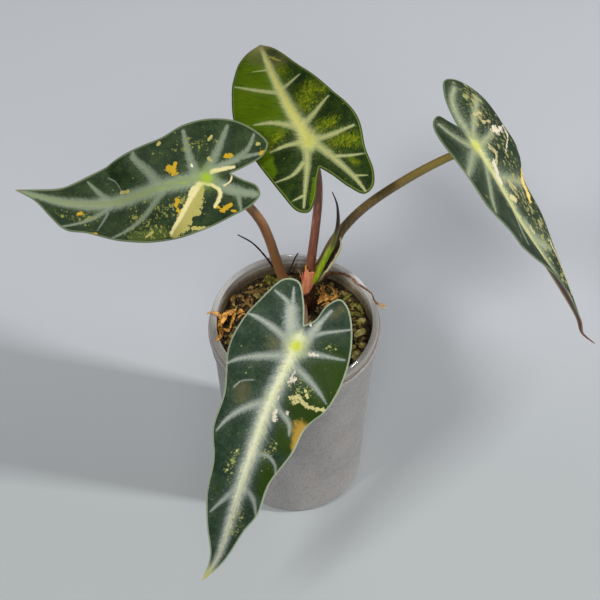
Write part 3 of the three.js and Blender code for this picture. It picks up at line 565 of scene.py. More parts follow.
def tube(path, radii, rings, sides, shape=None):
    """Points and faces of a closed stem, and how far along it each point lies. shape(share, turn)
    scales the radius of each ring."""
    curve = bend(path)
    reach = lengths(curve)
    along = np.linspace(0, 1, rings)
    centres = np.column_stack([np.interp(along * reach[-1], reach, curve[:, i]) for i in range(3)])
    ahead = np.gradient(centres, axis=0)
    ahead /= np.linalg.norm(ahead, axis=1)[:, None]
    side = np.cross(ahead[0], (0, 0, 1) if abs(ahead[0][2]) < 0.9 else (1, 0, 0))
    points = []
    turn = np.linspace(0, 2 * math.pi, sides, endpoint=False)
    for centre, way, share in zip(centres, ahead, along):
        side = side - way * side.dot(way)
        side /= np.linalg.norm(side)
        over = np.cross(way, side)
        radius = np.interp(share, np.linspace(0, 1, len(radii)), radii)
        scale = shape(share, turn) if shape else np.ones(sides)
        ring = centre + radius * (np.outer(np.cos(turn) * scale, side) + np.outer(np.sin(turn) * scale, over))
        points += ring.tolist()
    points += [tuple(centres[0]), tuple(centres[-1])]
    return np.array(points), ringed(rings, sides), np.concatenate([np.repeat(along, sides), [0, 1]])


def crown_rings(share, turn):
    """The ringed scars of earlier leaves."""
    scars = 0.06 * math.cos(share * 60)
    return 1 + scars + 0.05 * np.sin(3 * turn + 9 * share) + 0.03 * np.sin(7 * turn - 14 * share)


corm = Finish("crown_skin", Roughness=0.75, Specular_IOR_Level=0.3)
# Partly painted shade: the brown-black of the skin stands for damp soil and for the deep shade under the
# leaves.
corm.colour(corm.blend(tint(24, 17, 12), tint(70, 42, 28), corm.step(corm.grain(2, 4, 0.7), 0.4, 0.75)))
corm.relief(corm.grain(0.6, 3), 0.2)
points, faces, _ = tube(CROWN_PATH, CROWN_RADII, 70, 40, crown_rings)
crown = form("crown_stem", points, faces, corm.material)
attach(crown, "root")
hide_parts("crown")

# Sheath: the papery salmon-red bract that wraps the feet of the stalks, swollen in the middle,
# drawn to a ragged orange point at its left, and dark with soil at its foot.
SHEATH_AXIS = [                   # height, x, y
    (112, 4, 15.4), (120, 5.4, 15), (126, 6.4, 14.7), (132, 6.8, 14.5), (140, 7.1, 14.8), (148, 6.8, 15)]
SHEATH_RADIUS = [                 # height, radius
    (112, 5), (118, 4.3), (122, 3.8), (127, 3.4), (133, 3.2), (136.5, 2.9), (140, 2.2), (144, 1.9)]
SHEATH_ANGLES = (190, 352)
SHEATH_FOOT = 112.6
SHEATH_TOP = [(0, 137), (0.06, 140.5), (0.11, 144.3), (0.16, 141.8), (0.28, 140.8), (0.5, 140.2), (0.7, 140),
              (0.85, 139.4), (0.93, 138), (1, 136)]
SHEATH_SKIN = 0.45
SHEATH_SCRAPS = [                 # torn slips that stand off its left side
    [(4.4, 14.2, 129), (3.3, 13.8, 135), (2.4, 13.4, 139.4), (1.6, 13.2, 141.6)],
    [(4.6, 14.0, 131), (3.9, 13.2, 137), (3.4, 12.9, 140.4)],
]


def read(stations, place, column):
    """Linear value between stations of (place, value, value, ...)."""
    stations = np.asarray(stations, float)
    return np.interp(place, stations[:, 0], stations[:, column])


def wrapped(columns, rows, skin):
    """The sheath as a thin closed skin, open at the back, torn along its top and fluted lengthwise."""
    outer = []
    for i in range(columns + 1):
        w = i / columns
        a = math.radians(SHEATH_ANGLES[0] + (SHEATH_ANGLES[1] - SHEATH_ANGLES[0]) * w)
        torn = 0.7 * noise.noise(Vector((w * 26, 3, 0))) + 0.5 * noise.noise(Vector((w * 70, 8, 0)))
        top = read(SHEATH_TOP, w, 1) + torn
        for j in range(rows + 1):
            z = SHEATH_FOOT + (top - SHEATH_FOOT) * j / rows
            vein = 0.12 * math.cos(w * 2 * math.pi * 13 + 0.3 * math.sin(z / 4))
            flare = 0.35 * max(0, (z - top + 4) / 4) ** 2 * math.sin(w * 17)
            r = read(SHEATH_RADIUS, z, 1) + vein + flare
            x, y = read(SHEATH_AXIS, z, 1), read(SHEATH_AXIS, z, 2)
            outer.append((x + r * math.cos(a), y + r * math.sin(a), z, math.cos(a), math.sin(a)))
    outer = np.array(outer)
    inner = outer[:, :3] - np.column_stack([outer[:, 3:], np.zeros(len(outer))]) * skin
    points = np.vstack([outer[:, :3], inner]).tolist()
    count = len(outer)
    faces = []
    for i in range(columns):
        for j in range(rows):
            a = i * (rows + 1) + j
            b = a + rows + 1
            faces += [(a, b, b + 1, a + 1), (count + a, count + a + 1, count + b + 1, count + b)]
    rim = [i * (rows + 1) for i in range(columns + 1)]
    edge = rim + [columns * (rows + 1) + j for j in range(1, rows + 1)]
    edge += [i * (rows + 1) + rows for i in range(columns - 1, -1, -1)] + list(range(rows - 1, 0, -1))
    for a, b in zip(edge, edge[1:] + edge[:1]):
        faces.append((b, a, count + a, count + b))
    return points, faces


def flattened(share, turn):
    """The flat oval section of a torn slip."""
    return 1 / np.sqrt((np.cos(turn) / 1.2) ** 2 + (np.sin(turn) / 0.4) ** 2)


bract = Finish("sheath_skin", Roughness=0.5, Subsurface_Weight=0.2, Subsurface_Scale=0.002)
height = bract.axis(2)
fibre = bract.grain(1.2, 3, stretch=(1, 1, 0.15))
flesh = bract.blend(tint(232, 132, 94), tint(250, 176, 136), bract.step(fibre, 0.35, 0.7))
flesh = bract.blend(flesh, tint(248, 176, 76), bract.step(height, 140.6 * MM, 142.6 * MM))
sideways = bract.sums("SUBTRACT", bract.axis(0), 4 * MM)
wet = bract.scaled(bract.times(sideways, sideways), -0.33 / MM, height)
mud = bract.scaled(bract.sums("SUBTRACT", bract.grain(2.0, 4, 0.7), 0.5), 4 * MM, wet)
flesh = bract.blend(flesh, tint(66, 38, 26), bract.step(mud, 126.2 * MM, 124 * MM))
threads = bract.step(bract.grain(0.7, 3, 0.7, (1, 1, 0.2)), 0.58, 0.7)
bract.colour(bract.blend(flesh, tint(214, 112, 78), threads))
bract.relief(fibre, 0.15)
points, faces = wrapped(90, 50, SHEATH_SKIN)
for scrap in SHEATH_SCRAPS:
    join(points, faces, *tube(scrap, [0.5, 0.75, 0.55, 0.15], 24, 12, flattened)[:2])
sheath = form("salmon_sheath", points, faces, bract.material)
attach(sheath, "root")
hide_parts("cataphyll")

# Leaf stalks: four smooth fleshy stems, each winged at its foot, where it sits in the crown,
# and slightly flattened above. They are brown to olive, streaked lengthwise and paler near the leaf.
STALKS = {
    "back": dict(
        path=[(4.6, 16.4, 119), (5.8, 16.3, 130), (6.9, 16.4, 138), (8.3, 16.8, 152.5), (9.5, 17.6, 167.5),
              (10.4, 18.6, 182), (10.2, 19.6, 196), (8.6, 20, 208), (6.4, 20, 219)],
        radii=[2.3, 2.05, 1.9, 1.85, 1.75], foot=tint(156, 92, 70), middle=tint(134, 82, 64),
        head=tint(124, 76, 58), flank=tint(186, 128, 98), slot="stalk_brown"),
    "right": dict(
        path=[(6.2, 15.7, 119), (8, 15.5, 127.5), (9.9, 15.4, 135.5), (13.3, 15.3, 146.2),
              (18.2, 15.5, 160.8), (28.8, 15.5, 180.1), (45.4, 15.5, 198.6), (64.7, 15.5, 214.8),
              (71.5, 15.2, 218.9), (75.6, 15, 221.2)],
        radii=[2.4, 2.2, 2, 1.9, 1.6], foot=tint(58, 44, 26), middle=tint(104, 82, 48),
        head=tint(134, 118, 50), flank=tint(136, 126, 60), slot="stalk_olive"),
    "left": dict(
        path=[(2.9, 15.2, 115), (-0.6, 14.4, 124.6), (-5.3, 13.5, 135.8), (-8.7, 12, 153.1),
              (-10.9, 10.5, 166.2), (-14.8, 8.5, 182.3), (-22.8, 5, 200.9), (-29.6, 2.6, 211.2),
              (-36, -0.1, 218)],
        radii=[2.4, 2.2, 2.1, 2, 1.8], foot=tint(178, 112, 76), middle=tint(146, 100, 62),
        head=tint(134, 98, 58), flank=tint(142, 118, 62), slot="stalk_brown"),
    "front": dict(
        path=[(3, 14.8, 112.5), (3.3, 10, 118), (3.7, -2, 132), (4, -18, 149), (3.7, -36, 165),
              (2.4, -50, 176.5), (1.2, -59.4, 184.2)],
        radii=[2.3, 2.1, 2, 1.9, 1.8], foot=tint(140, 92, 58), middle=tint(128, 84, 54),
        head=tint(120, 92, 50), flank=tint(128, 100, 52), slot="stalk_brown"),
}


def stalk_section(share, turn):
    """Nearly round, with a low wing on both sides of the foot."""
    wing = max(0, 1 - share / 0.22)
    return 1 + 0.28 * wing * np.abs(np.cos(turn)) ** 3 - 0.05 * np.cos(2 * turn) + 0.012 * np.cos(11 * turn)


def winged_section(share, turn):
    """The right stalk keeps a broad wing on its left, up to where the new leaf leaves it."""
    wing = 0.75 * math.sin(math.pi * min(1, max(0, (share - 0.08) / 0.3))) ** 0.8
    return stalk_section(share, turn) + wing * np.clip(-np.sin(turn), 0, 1) ** 3


for name, stalk in STALKS.items():
    skin = Finish(f"stalk_skin_{name}", Roughness=0.4, Subsurface_Weight=0.1, Subsurface_Scale=0.002)
    share = skin.field("share")
    streaks = skin.grain(0.9, 4, 0.6, (1, 1, 0.1))
    shade = skin.blend(stalk["foot"], stalk["middle"], skin.step(share, 0.04, 0.35))
    shade = skin.blend(shade, stalk["head"], skin.step(share, 0.5, 0.98))
    shade = skin.blend(shade, stalk["flank"], skin.step(streaks, 0.5, 0.72))
    flecks = skin.step(skin.grain(0.5, 2, 0.7, (1, 1, 0.25)), 0.62, 0.72)
    shade = skin.blend(shade, tint(66, 38, 26), flecks, 0.45)
    skin.colour(skin.blend(shade, tint(138, 132, 66), skin.step(share, 0.955, 1.0)))
    skin.relief(streaks, 0.08)
    section = winged_section if name == "right" else stalk_section
    points, faces, shares = tube(stalk["path"], stalk["radii"], 110, 32, section)
    stem = form(f"stalk_{name}", points, faces, skin.material)
    label(stem, share=shares)
    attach(stem, "root")
    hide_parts(f"petiole_{name}")

# Front leaf: a long dark arrow blade with silvery veins, hung from its stalk a little inside
# the notch. Its skin puffs up between the veins; below, the rib stands out like a keel.
BLADE = 0.6                       # thickness between the veins
EDGE_SKIN = 0.3                   # thickness at the margin
PUFF = 0.55                       # how far the skin rises between veins
PUFF_REACH = 3.2
KEEL = 1.5                        # how far the rib stands out below, at the stalk
RIB_RIDGE = 0.18                  # and above
VEIN_RIDGE = 0.55                 # how far a vein stands out below
LOBE_ROWS = 44
BLADE_ROWS = 230
COLUMNS = 40
SPINE_STEPS = 120                 # samples from one point of a spine to the next
RIPPLE_UNIT = 20                  # distance from the rib at which a ripple has its stated height
MARKINGS = ("cream", "white", "gold", "hole", "stripe", "lime", "streak", "brown", "ochre", "fleck", "pale")


class Leaf:
    """A blade on a curved spine. s runs along the spine from the stalk's seat to the tip, and
    t across it, positive to the right as seen from the stalk. Its shape is told at stations
    that start with their s: facing is the way that the upper side looks, fold how steeply the
    left and the right half rise from the rib, in degrees, curl how that slope changes with each
    millimetre outwards, in radians, and rib the width of the pale rib. left and right are the
    margins (s, t), from the notch round the lobe to the tip."""

    def __init__(self, shape):
        self.shape = shape
        self.line = bend(shape["spine"], SPINE_STEPS)
        reach = lengths(self.line)
        self.s = reach - reach[SPINE_STEPS]       # the stalk's seat is the spine's second point
        self.tip = self.s[-1]
        self.halves = [self.margin(shape["left"], -1), self.margin(shape["right"], 1)]

    def margin(self, outline, side):
        """One half's margin, and its two runs: along the notch, and from the lobe's end to the tip."""
        curve = bend(outline, 30) * (1, side)
        end = int(np.argmin(curve[:, 0]))
        return dict(notch=outline[0][0], start=curve[end, 0], inner=curve[:end + 1][::-1], outer=curve[end:],
                    whole=curve, side=side)

    def point(self, s, t):
        """The points in space at the places (s, t)."""
        held = np.clip(s, self.s[0], self.s[-1])
        step = 0.4
        centre, ahead, behind = [np.column_stack([np.interp(at, self.s, self.line[:, i]) for i in range(3)])
                                 for at in (held, np.minimum(held + step, self.tip),
                                            np.maximum(held - step, self.s[0]))]
        along = ahead - behind
        along /= np.linalg.norm(along, axis=1)[:, None]
        centre = centre + along * (s - held)[:, None]
        up = np.column_stack([read(self.shape["facing"], s, k) for k in (1, 2, 3)])
        up -= along * (up * along).sum(1)[:, None]
        up /= np.linalg.norm(up, axis=1)[:, None]
        across = np.cross(along, up)
        side, width = np.where(t >= 0, 1.0, -1.0), np.abs(t)
        pick = t >= 0
        angle = np.radians(np.where(pick, read(self.shape["fold"], s, 2), read(self.shape["fold"], s, 1)))
        curl = np.where(pick, read(self.shape["curl"], s, 2), read(self.shape["curl"], s, 1))
        wave = self.shape["wave"]
        ripple = wave["height"] * (width / RIPPLE_UNIT) ** 2 * np.sin(
            2 * math.pi * (s / wave["length"] + wave["shift"] * side))
        x = (np.sin(angle + curl * width) - np.sin(angle)) / curl
        h = (np.cos(angle) - np.cos(angle + curl * width)) / curl
        return centre + across * (side * x)[:, None] + up * (h + ripple)[:, None]

    def normal(self, s, t):
        """The ways that the upper side looks at the places (s, t)."""
        step = 0.3
        along = self.point(s + step, t) - self.point(s - step, t)
        across = self.point(s, t + step) - self.point(s, t - step)
        out = np.cross(across, along)
        return out / np.linalg.norm(out, axis=1)[:, None]

    def sheet(self):
        """The places (s, t) of the blade's points, and its faces."""
        places = []
        faces = []
        notch = self.halves[0]["notch"]
        rib_s = notch + (self.tip - notch) * np.linspace(0, 1, BLADE_ROWS + 1)
        places += [(s, 0.0) for s in rib_s]
        for half in self.halves:
            rows = []
            for i in range(LOBE_ROWS):
                s = half["start"] + (notch - half["start"]) * (i / LOBE_ROWS) ** 1.6
                if i == 0:
                    places.append((s, half["outer"][0, 1]))
                    rows.append([len(places) - 1] * (COLUMNS + 1))
                    continue
                a = np.interp(s, half["inner"][:, 0], half["inner"][:, 1])
                b = np.interp(s, half["outer"][:, 0], half["outer"][:, 1])
                rows.append(list(range(len(places), len(places) + COLUMNS + 1)))
                places += [(s, a + (b - a) * j / COLUMNS) for j in range(COLUMNS + 1)]
            for i, s in enumerate(rib_s[:-1]):
                b = np.interp(s, half["outer"][:, 0], half["outer"][:, 1])
                rows.append([i] + list(range(len(places), len(places) + COLUMNS)))
                places += [(s, b * j / COLUMNS) for j in range(1, COLUMNS + 1)]
            rows.append([BLADE_ROWS] * (COLUMNS + 1))
            for here, after in zip(rows[:-1], rows[1:]):
                for j in range(COLUMNS):
                    face = [here[j], here[j + 1], after[j + 1], after[j]]
                    face = tuple(dict.fromkeys(face if half["side"] > 0 else face[::-1]))
                    if len(face) > 2:
                        faces.append(face)
        return np.array(places), faces


def nearness(places, lines):
    """Least distance to the lines, least distance as a share of a line's width there, and the
    place along that line, set back with the distance so that it runs on slantwise."""
    far = np.full(len(places), 99.0)
    share = np.full(len(places), 99.0)
    flow = np.zeros(len(places))
    for n, (wide, narrow, points) in enumerate(lines):
        curve = bend(points, 8)
        widths = np.linspace(wide, narrow, len(curve))
        reach = lengths(curve)
        for k in range(len(curve) - 1):
            a, b = curve[k], curve[k + 1]
            way = b - a
            w = np.clip(((places - a) @ way) / max(way @ way, 1e-9), 0, 1)
            d = np.linalg.norm(places - a - w[:, None] * way, axis=1)
            part = d / (widths[k] + (widths[k + 1] - widths[k]) * w)
            flow = np.where(part < share, 40 * n + reach[k] + w * (reach[k + 1] - reach[k]) - 0.6 * d, flow)
            far = np.minimum(far, d)
            share = np.minimum(share, part)
    return far, share, flow


def blade(name, leaf, veins, patches, face_paint, back_paint):
    """The blade as a closed skin, its veins raised and its markings stored at each point."""
    places, faces = leaf.sheet()
    s, t = places[:, 0], places[:, 1]
    centre, up = leaf.point(s, t), leaf.normal(s, t)
    notch = leaf.halves[0]["notch"]
    veins_far, veins_share, flow = nearness(places, veins)
    edge = nearness(places, [(1, 1, half["whole"][::6].tolist()) for half in leaf.halves])[0]

    # The skin: how thick it is, how it puffs up, and how far the rib and the veins stand out
    rib_width = read(leaf.shape["rib"], s, 1)
    rib_share = np.abs(t) / rib_width + np.maximum(0, leaf.shape["rib_start"] - s) * 0.3
    nearest = np.minimum(veins_far, np.where(s > notch, np.abs(t), 99))
    puff = PUFF * (1 - np.exp(-(nearest / PUFF_REACH) ** 2)) * np.clip(edge / 3, 0, 1)
    rib = np.exp(-(np.abs(t) / (0.45 * rib_width + 0.2)) ** 2) * np.clip(s - notch, 0, 1)
    fade = np.clip(1 - s / leaf.tip, 0, 1) ** 0.6
    keel = KEEL * rib * fade
    under = np.maximum(keel, VEIN_RIDGE * np.exp(-(veins_share / 0.45) ** 2) * np.clip(edge / 2, 0, 1))
    skin = np.clip(EDGE_SKIN / 2 + (BLADE - EDGE_SKIN) / 2 * np.clip(edge / 1.2, 0, 1) ** 0.5, 0.1, 1)
    top = centre + up * (skin + puff + RIB_RIDGE * rib * fade)[:, None]
    bottom = centre - up * (skin - puff * 0.8 + under)[:, None]

    # The upper side, the underside in the second paint, and the strip that joins them
    count = len(places)
    ways = dict.fromkeys(way for face in faces for way in zip(face, face[1:] + face[:1]))
    sides = [(b, a, a + count, b + count) for a, b in ways if (b, a) not in ways]
    below = [tuple(i + count for i in face[::-1]) for face in faces]
    shape = form(name, np.vstack([top, bottom]), faces + below + sides, face_paint, back_paint)
    index = [0] * len(faces) + [1] * len(faces) + [0] * len(sides)
    shape.data.polygons.foreach_set("material_index", index)

    # What the paints read at each point
    fields = dict(rib=rib_share, vein=veins_share, flow=flow, edge=edge, seat=np.hypot(s, t),
                  along=s, across=t, tip=s / leaf.tip)
    for kind in MARKINGS:
        fields[kind] = 1 - np.clip(nearness(places, patches.get(kind, []))[1], 0, 2)
    label(shape, **{key: np.concatenate([values, values]) for key, values in fields.items()})
    return shape


def leaf_face(name, dark, mid, lime, silver, pale, core, cream, gold, margin, specks, seat, tip, glow, haze,
              soft=0.25, dash=1.0, band=1.0, blur=1.0, rim=0.0, solid=1.0, fade=0.5, fan=0.3):
    """The upper skin: mottled green, silver veins with soft feathered sides, a pale rib, patches
    and flecks with blocky edges, and a pale double line along the margin."""
    paint = Finish(name, Roughness=0.55, Specular_IOR_Level=0.12)
    times, plus, scaled = paint.times, paint.plus, paint.scaled
    mix, step, field = paint.blend, paint.step, paint.field
    along, across = field("along"), field("across")
    skew = scaled(across, 0.45 if dash > 1 else 0.0, along)
    plan = paint.plane(times(skew, 1 / dash), across)
    lean = scaled(paint.sums("ABSOLUTE", across), -0.8, along)
    ribs = paint.plane(lean, times(across, 0.12))
    strokes = paint.plane(lean, times(across, 0.4))
    flows = paint.plane(field("flow"), times(field("vein"), 0.3))

    def cloud(vector, size, detail=3.0, rough=0.6):
        return paint.add("ShaderNodeTexNoise", {"Vector": vector, "Scale": 1 / size, "Detail": detail,
                                                "Roughness": rough}).outputs[0]

    def centred(value):
        return paint.sums("SUBTRACT", value, 0.5)

    def tiles(vector, size):
        """A random level for each small cell of that size, falling a little towards its edge."""
        node = paint.add("ShaderNodeTexVoronoi", {"Vector": vector, "Scale": 1 / size})
        level = paint.add("ShaderNodeSeparateColor", {0: node.outputs["Color"]}).outputs[0]
        return scaled(node.outputs["Distance"], -0.3, level)

    broad, fine = cloud(plan, 8, 4), cloud(plan, 1.7, 4, 0.65)
    bits, blocks = tiles(plan, 0.55), tiles(plan, 1.15)
    ragged = centred(fine)
    comb = centred(cloud(ribs, 1.3, 3, 0.65))
    barbs = centred(cloud(flows, 0.8, 3, 0.75))
    threads = cloud(paint.plane(times(along, 0.1), across), 0.7, 2)
    crystals = cloud(plan, 0.55, 3, 0.8)
    frost = step(crystals, 0.42, 0.66)
    worn = scaled(step(crystals, 0.6, 0.38), -0.38, 1.0)
    dim = scaled(step(field("tip"), 0.25, 0.9), -fade, 1.0)
    net = step(paint.cells(2.6), 0.07, 0.0)

    # Between the veins: dark and lighter green, lime sectors, brushed streaks and browned spots
    skin = mix(dark, mid, step(plus(broad, times(ragged, 0.7)), 0.34, 0.72))
    skin = mix(skin, mid, net, 0.25)
    skin = mix(skin, silver, step(crystals, 0.5, 0.8), 0.16)
    skin = mix(skin, dark, step(crystals, 0.46, 0.3), 0.5)
    limed = scaled(ragged, 1.1, scaled(broad, 0.8, field("lime")))
    fanned = mix(lime, mid, step(cloud(ribs, 0.75, 2), 0.5, 0.66), fan)
    skin = mix(skin, fanned, step(limed, 0.4 - soft, 0.4 + soft))
    brushed = scaled(centred(cloud(strokes, 0.62, 3, 0.65)), 3.8, field("streak"))
    skin = mix(skin, mix(specks, lime, step(fine, 0.4, 0.6)), step(brushed, 0.1, 1.0), 0.9)
    skin = mix(skin, tint(92, 90, 60), step(plus(field("brown"), ragged), -0.1, 0.9), 0.6)

    # Side veins, the misted places round the seat, and the rib with its bright core
    feather = scaled(barbs, 1.2, field("vein"))
    skin = mix(skin, silver, step(feather, 3.6, 0.8), frost, haze)
    skin = mix(skin, silver, step(feather, 1.0 + 0.5 * blur, 0.8 - 0.35 * blur), 0.85, worn)
    skin = mix(skin, pale, step(feather, 0.7, 0.0), glow, dim, worn)
    misted = scaled(ragged, 1.6, plus(comb, field("pale")))
    skin = mix(skin, silver, step(misted, -0.5, 0.5), 0.85, worn)
    skin = mix(skin, pale, step(misted, 0.0, 0.9), glow, worn)
    ribbed = plus(scaled(ragged, 0.9, times(comb, 0.9)), field("rib"))
    skin = mix(skin, silver, step(ribbed, 3.2, 1.1), frost, haze)
    skin = mix(skin, silver, step(ribbed, 1.5 + 0.5 * blur, 0.9 - 0.15 * blur), 0.85, worn)
    skin = mix(skin, pale, step(ribbed, 1.3, 0.4), 0.95, dim, worn)
    skin = mix(skin, core, step(ribbed, 0.75, 0.1), 0.95, dim, worn)
    threaded = times(step(threads, 0.5, 0.64), step(ribbed, 1.2, 0.6))
    skin = mix(skin, mix(seat, core, step(field("tip"), 0.05, 0.6)), threaded, 0.4)

    # Flecks, and the cream, white and gold patches with their stripes
    often = scaled(broad, 0.5, times(paint.sums("MAXIMUM", field("fleck"), 0.0), 0.3))
    skin = mix(skin, specks, step(plus(bits, often), 1.16, 1.24), 0.6)
    skin = mix(skin, specks, step(scaled(fine, 0.5, plus(blocks, often)), 1.42, 1.5), 0.9)
    grain = scaled(bits, 0.7, scaled(blocks, 0.7, ragged))
    holed = times(paint.sums("MAXIMUM", field("hole"), 0.0), -2.0)
    for kind, colour in (("cream", cream), ("white", tint(220, 212, 190)), ("gold", gold)):
        patch = plus(grain, scaled(field(kind), solid, holed))
        shaded = mix(colour, specks, step(fine, 0.52, 0.66), 0.3)
        skin = mix(skin, shaded, step(patch, 0.72, 0.84), 0.95)
    lined = scaled(comb, 0.9, scaled(ragged, 1.2, field("stripe")))
    skin = mix(skin, tint(216, 206, 150), step(lined, -0.1, 0.6), 0.92)
    skin = mix(skin, gold, step(scaled(ragged, 1.4, field("ochre")), -0.4, 0.7), 0.75)

    # Margin, tip and seat
    skin = mix(skin, margin, step(scaled(ragged, 0.4, field("edge")), 1.15 * band, 0.8 * band), 0.85)
    groove = paint.sums("ABSOLUTE", paint.sums("SUBTRACT", field("edge"), 0.55 * band))
    skin = mix(skin, dark, step(groove, 0.24 * band, 0.05 * band), 0.6)
    if rim:
        skin = mix(skin, dark, step(field("edge"), 0.6 * band, 0.35 * band), rim)
    ended, tip_start, tip_end = tip
    skin = mix(skin, ended, step(scaled(ragged, 0.05, field("tip")), tip_start, tip_end))
    round_seat = scaled(ragged, 2.4, scaled(comb, 1.6, field("seat")))
    skin = mix(skin, seat, step(round_seat, 8.0, 2.0), 0.25)
    paint.colour(mix(skin, seat, step(round_seat, 3.4, 0.9), 0.9))
    paint.roughness(scaled(fine, 0.2, 0.45))
    paint.relief(plus(paint.grain(0.7, 3), times(net, -0.5)), 0.06)
    return paint.material


def leaf_back(name, flesh, vein):
    """The underside: maroon with green between, and paler raised veins."""
    paint = Finish(name, Roughness=0.5, Specular_IOR_Level=0.35)
    skin = paint.blend(flesh, tint(70, 84, 52), paint.step(paint.grain(7, 4), 0.5, 0.75), 0.5)
    skin = paint.blend(skin, vein, paint.step(paint.field("vein"), 0.8, 0.3), 0.8)
    skin = paint.blend(skin, tint(150, 140, 92), paint.step(paint.field("rib"), 0.75, 0.35))
    skin = paint.blend(skin, tint(92, 40, 44), paint.step(paint.field("tip"), 0.8, 0.95))
    paint.colour(paint.blend(skin, tint(140, 128, 96), paint.step(paint.field("edge"), 0.9, 0.4)))
    paint.relief(paint.grain(0.8, 3), 0.08)
    return paint.material


front_leaf = Leaf(dict(
    spine=[(9.5, -42, 199.5), (1, -60, 184.5), (-9, -74.5, 168), (-19, -91, 143.5), (-25.5, -101, 122),
           (-32.5, -110, 99), (-40.5, -114, 82.5)],
    facing=[(-35, -0.10, -0.80, 0.60), (0, -0.15, -0.83, 0.53), (120, -0.18, -0.88, 0.45)],
    fold=[(-35, 4, 4), (0, 10, 10), (60, 14, 14), (120, 16, 16)],
    curl=[(-35, -0.006, -0.006), (60, -0.006, -0.006), (120, -0.004, -0.004)],
    wave=dict(height=0.7, length=31, shift=0.2),
    rib=[(-12, 4.2), (0, 4.0), (10, 3.2), (30, 3.3), (60, 2.9), (75, 2.4), (95, 1.8),
         (124, 0.7)], rib_start=-4,
    right=[(-9, 0), (-18.5, 3.5), (-25, 8), (-24, 14), (-13, 20.5), (-2, 24.5), (12, 25), (28, 19.3),
           (44, 18.8), (57, 14.6), (74, 13.2), (90, 9.2), (106, 3.8), (124, 0)],
    left=[(-9, 0), (-12.5, 3.6), (-19.5, 6), (-23.8, 10.5), (-21, 15), (-9, 20.8), (6, 23.5), (19, 22.4),
          (31, 17.6), (42, 16.4), (60, 11.4), (76, 10.6), (88, 7), (104, 3.8), (124, 0)]))
# A vein is its half width at the start and at the end, and the points (s, t) it runs through.
# A patch is written in the same way, and patches are listed by the kind of marking.
front_veins = [
    (3.4, 2.4, [(-1, 1), (-6, 3.8), (-11.5, 6.2), (-14, 7)]),
    (1.6, 0.5, [(-13, 6.8), (-17, 7.6), (-22, 9)]), (1.9, 0.5, [(-12.5, 6.5), (-16, 9.8), (-18.5, 15.8)]),
    (2.2, 0.4, [(-0.5, 3), (-4, 12.5), (-5.5, 20), (-5.5, 23)]),
    (2.5, 0.4, [(5.5, 3), (10, 12), (14.5, 19), (18, 22.5)]),
    (2.4, 0.4, [(25.5, 1), (32.5, 10), (38.5, 14.5), (44.5, 17)]),
    (2.2, 0.4, [(65.5, 0.5), (74.5, 5.5), (82.5, 9.5)]), (2.2, 0.7, [(-1.5, -1.5), (-10, -5), (-18, -8.6)]),
    (1.6, 0.4, [(-5, -3.5), (-8, -7.5), (-13.5, -18.5)]), (2.1, 0.4, [(2, -2), (0, -9), (-2, -20.5)]),
    (2.2, 0.3, [(7.5, -2), (10, -10.5), (13, -17.5), (15.5, -21.5)]),
    (2.0, 0.5, [(26, -2), (31, -10.5), (36, -12.5)]),
    (1.4, 0.4, [(49, -2), (48, -7), (50.5, -11), (54.5, -12.5)]),
    (1.8, 0.4, [(66, -1), (69, -6), (73, -8.5), (77, -10)]),
    (0.35, 0.25, [(25, 16.3), (22, 14.4), (19.6, 9.5)]),
]
front_patches = {
    "cream": [(1.5, 1.5, [(20.4, -7.6), (18.4, -9.6), (21, -9.4)]),
        (1.3, 1.0, [(18.4, -10.6), (19.8, -13.6), (20.4, -15.6)]),
        (1.1, 1.2, [(20.2, -15.8), (19.4, -18.6), (18.4, -21.4)]),
        (0.8, 0.6, [(14.6, -11.4), (16.6, -13.6)]), (0.5, 0.4, [(50, 6.5), (50.6, 6.6)]),
        (0.4, 0.4, [(59.5, 7.5), (60, 7.4)])],
    "white": [(1.5, 1.2, [(12.6, -4.9), (14.6, -4.2)]), (0.6, 0.5, [(22, -2.6), (23.4, -2.8)]),
        (1.5, 1.1, [(29, -3.6), (32, -4.4)]), (0.8, 0.6, [(-10.4, -2.8), (-9.2, -3.4)]),
        (1.1, 0.6, [(0.9, -6.5), (0.2, -10)]), (0.7, 0.6, [(9.8, -4), (10.6, -4.2)]),
        (0.7, 0.6, [(26.6, -8.3), (27.6, -8.6)])],
    "pale": [(3.8, 2.8, [(0, 2), (-7, 5), (-13, 7.2)]), (3.0, 1.2, [(0, -2), (-6, -3.8), (-12, -6)])],
    "brown": [(3, 2.4, [(-17, -10), (-20, -12)]), (5.0, 4.6, [(24.5, 12.6), (28, 11.6)]),
        (5.0, 4.0, [(2.5, 9), (4.5, 8)])],
    "fleck": [(4.6, 4.6, [(16, -6), (14.6, -13)]), (2.4, 2.4, [(-3.4, -11.5), (-4.8, -15.6)]),
        (5.0, 5.0, [(42, -7), (47, -6)]), (4.0, 4.0, [(50, 7), (64, 6)]), (5, 4, [(76, -3), (88, -3)])],
    "lime": [(12, 10, [(6, -18), (13, -19)]), (9, 6, [(24, -15), (38, -13)]), (5, 3, [(54, -10), (64, -9)]),
        (0.9, 0.9, [(68.8, 9.3), (69.8, 9.2)])],
    "ochre": [(3.2, 1.6, [(30.5, -15.4), (35, -15.8), (42.5, -17.4)])],
}
front_face = leaf_face(
    "front_leaf_face", dark=tint(28, 46, 31), mid=tint(52, 71, 50), lime=tint(38, 59, 2),
    silver=tint(136, 145, 139), pale=tint(182, 188, 168), core=tint(224, 225, 190), cream=tint(200, 194, 132),
    gold=tint(190, 152, 66), margin=tint(176, 188, 160), specks=tint(146, 152, 92), seat=tint(188, 198, 52),
    tip=(tint(190, 190, 114), 0.87, 0.98), soft=0.5, band=0.6, glow=0.6, blur=0.75, fade=0.5, haze=0.26)
maroon_back = leaf_back("leaf_underside", flesh=tint(92, 46, 60), vein=tint(140, 116, 92))
front_blade = blade("front_blade", front_leaf, front_veins, front_patches, front_face, maroon_back)
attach(front_blade, "root")
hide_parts("blade_front")

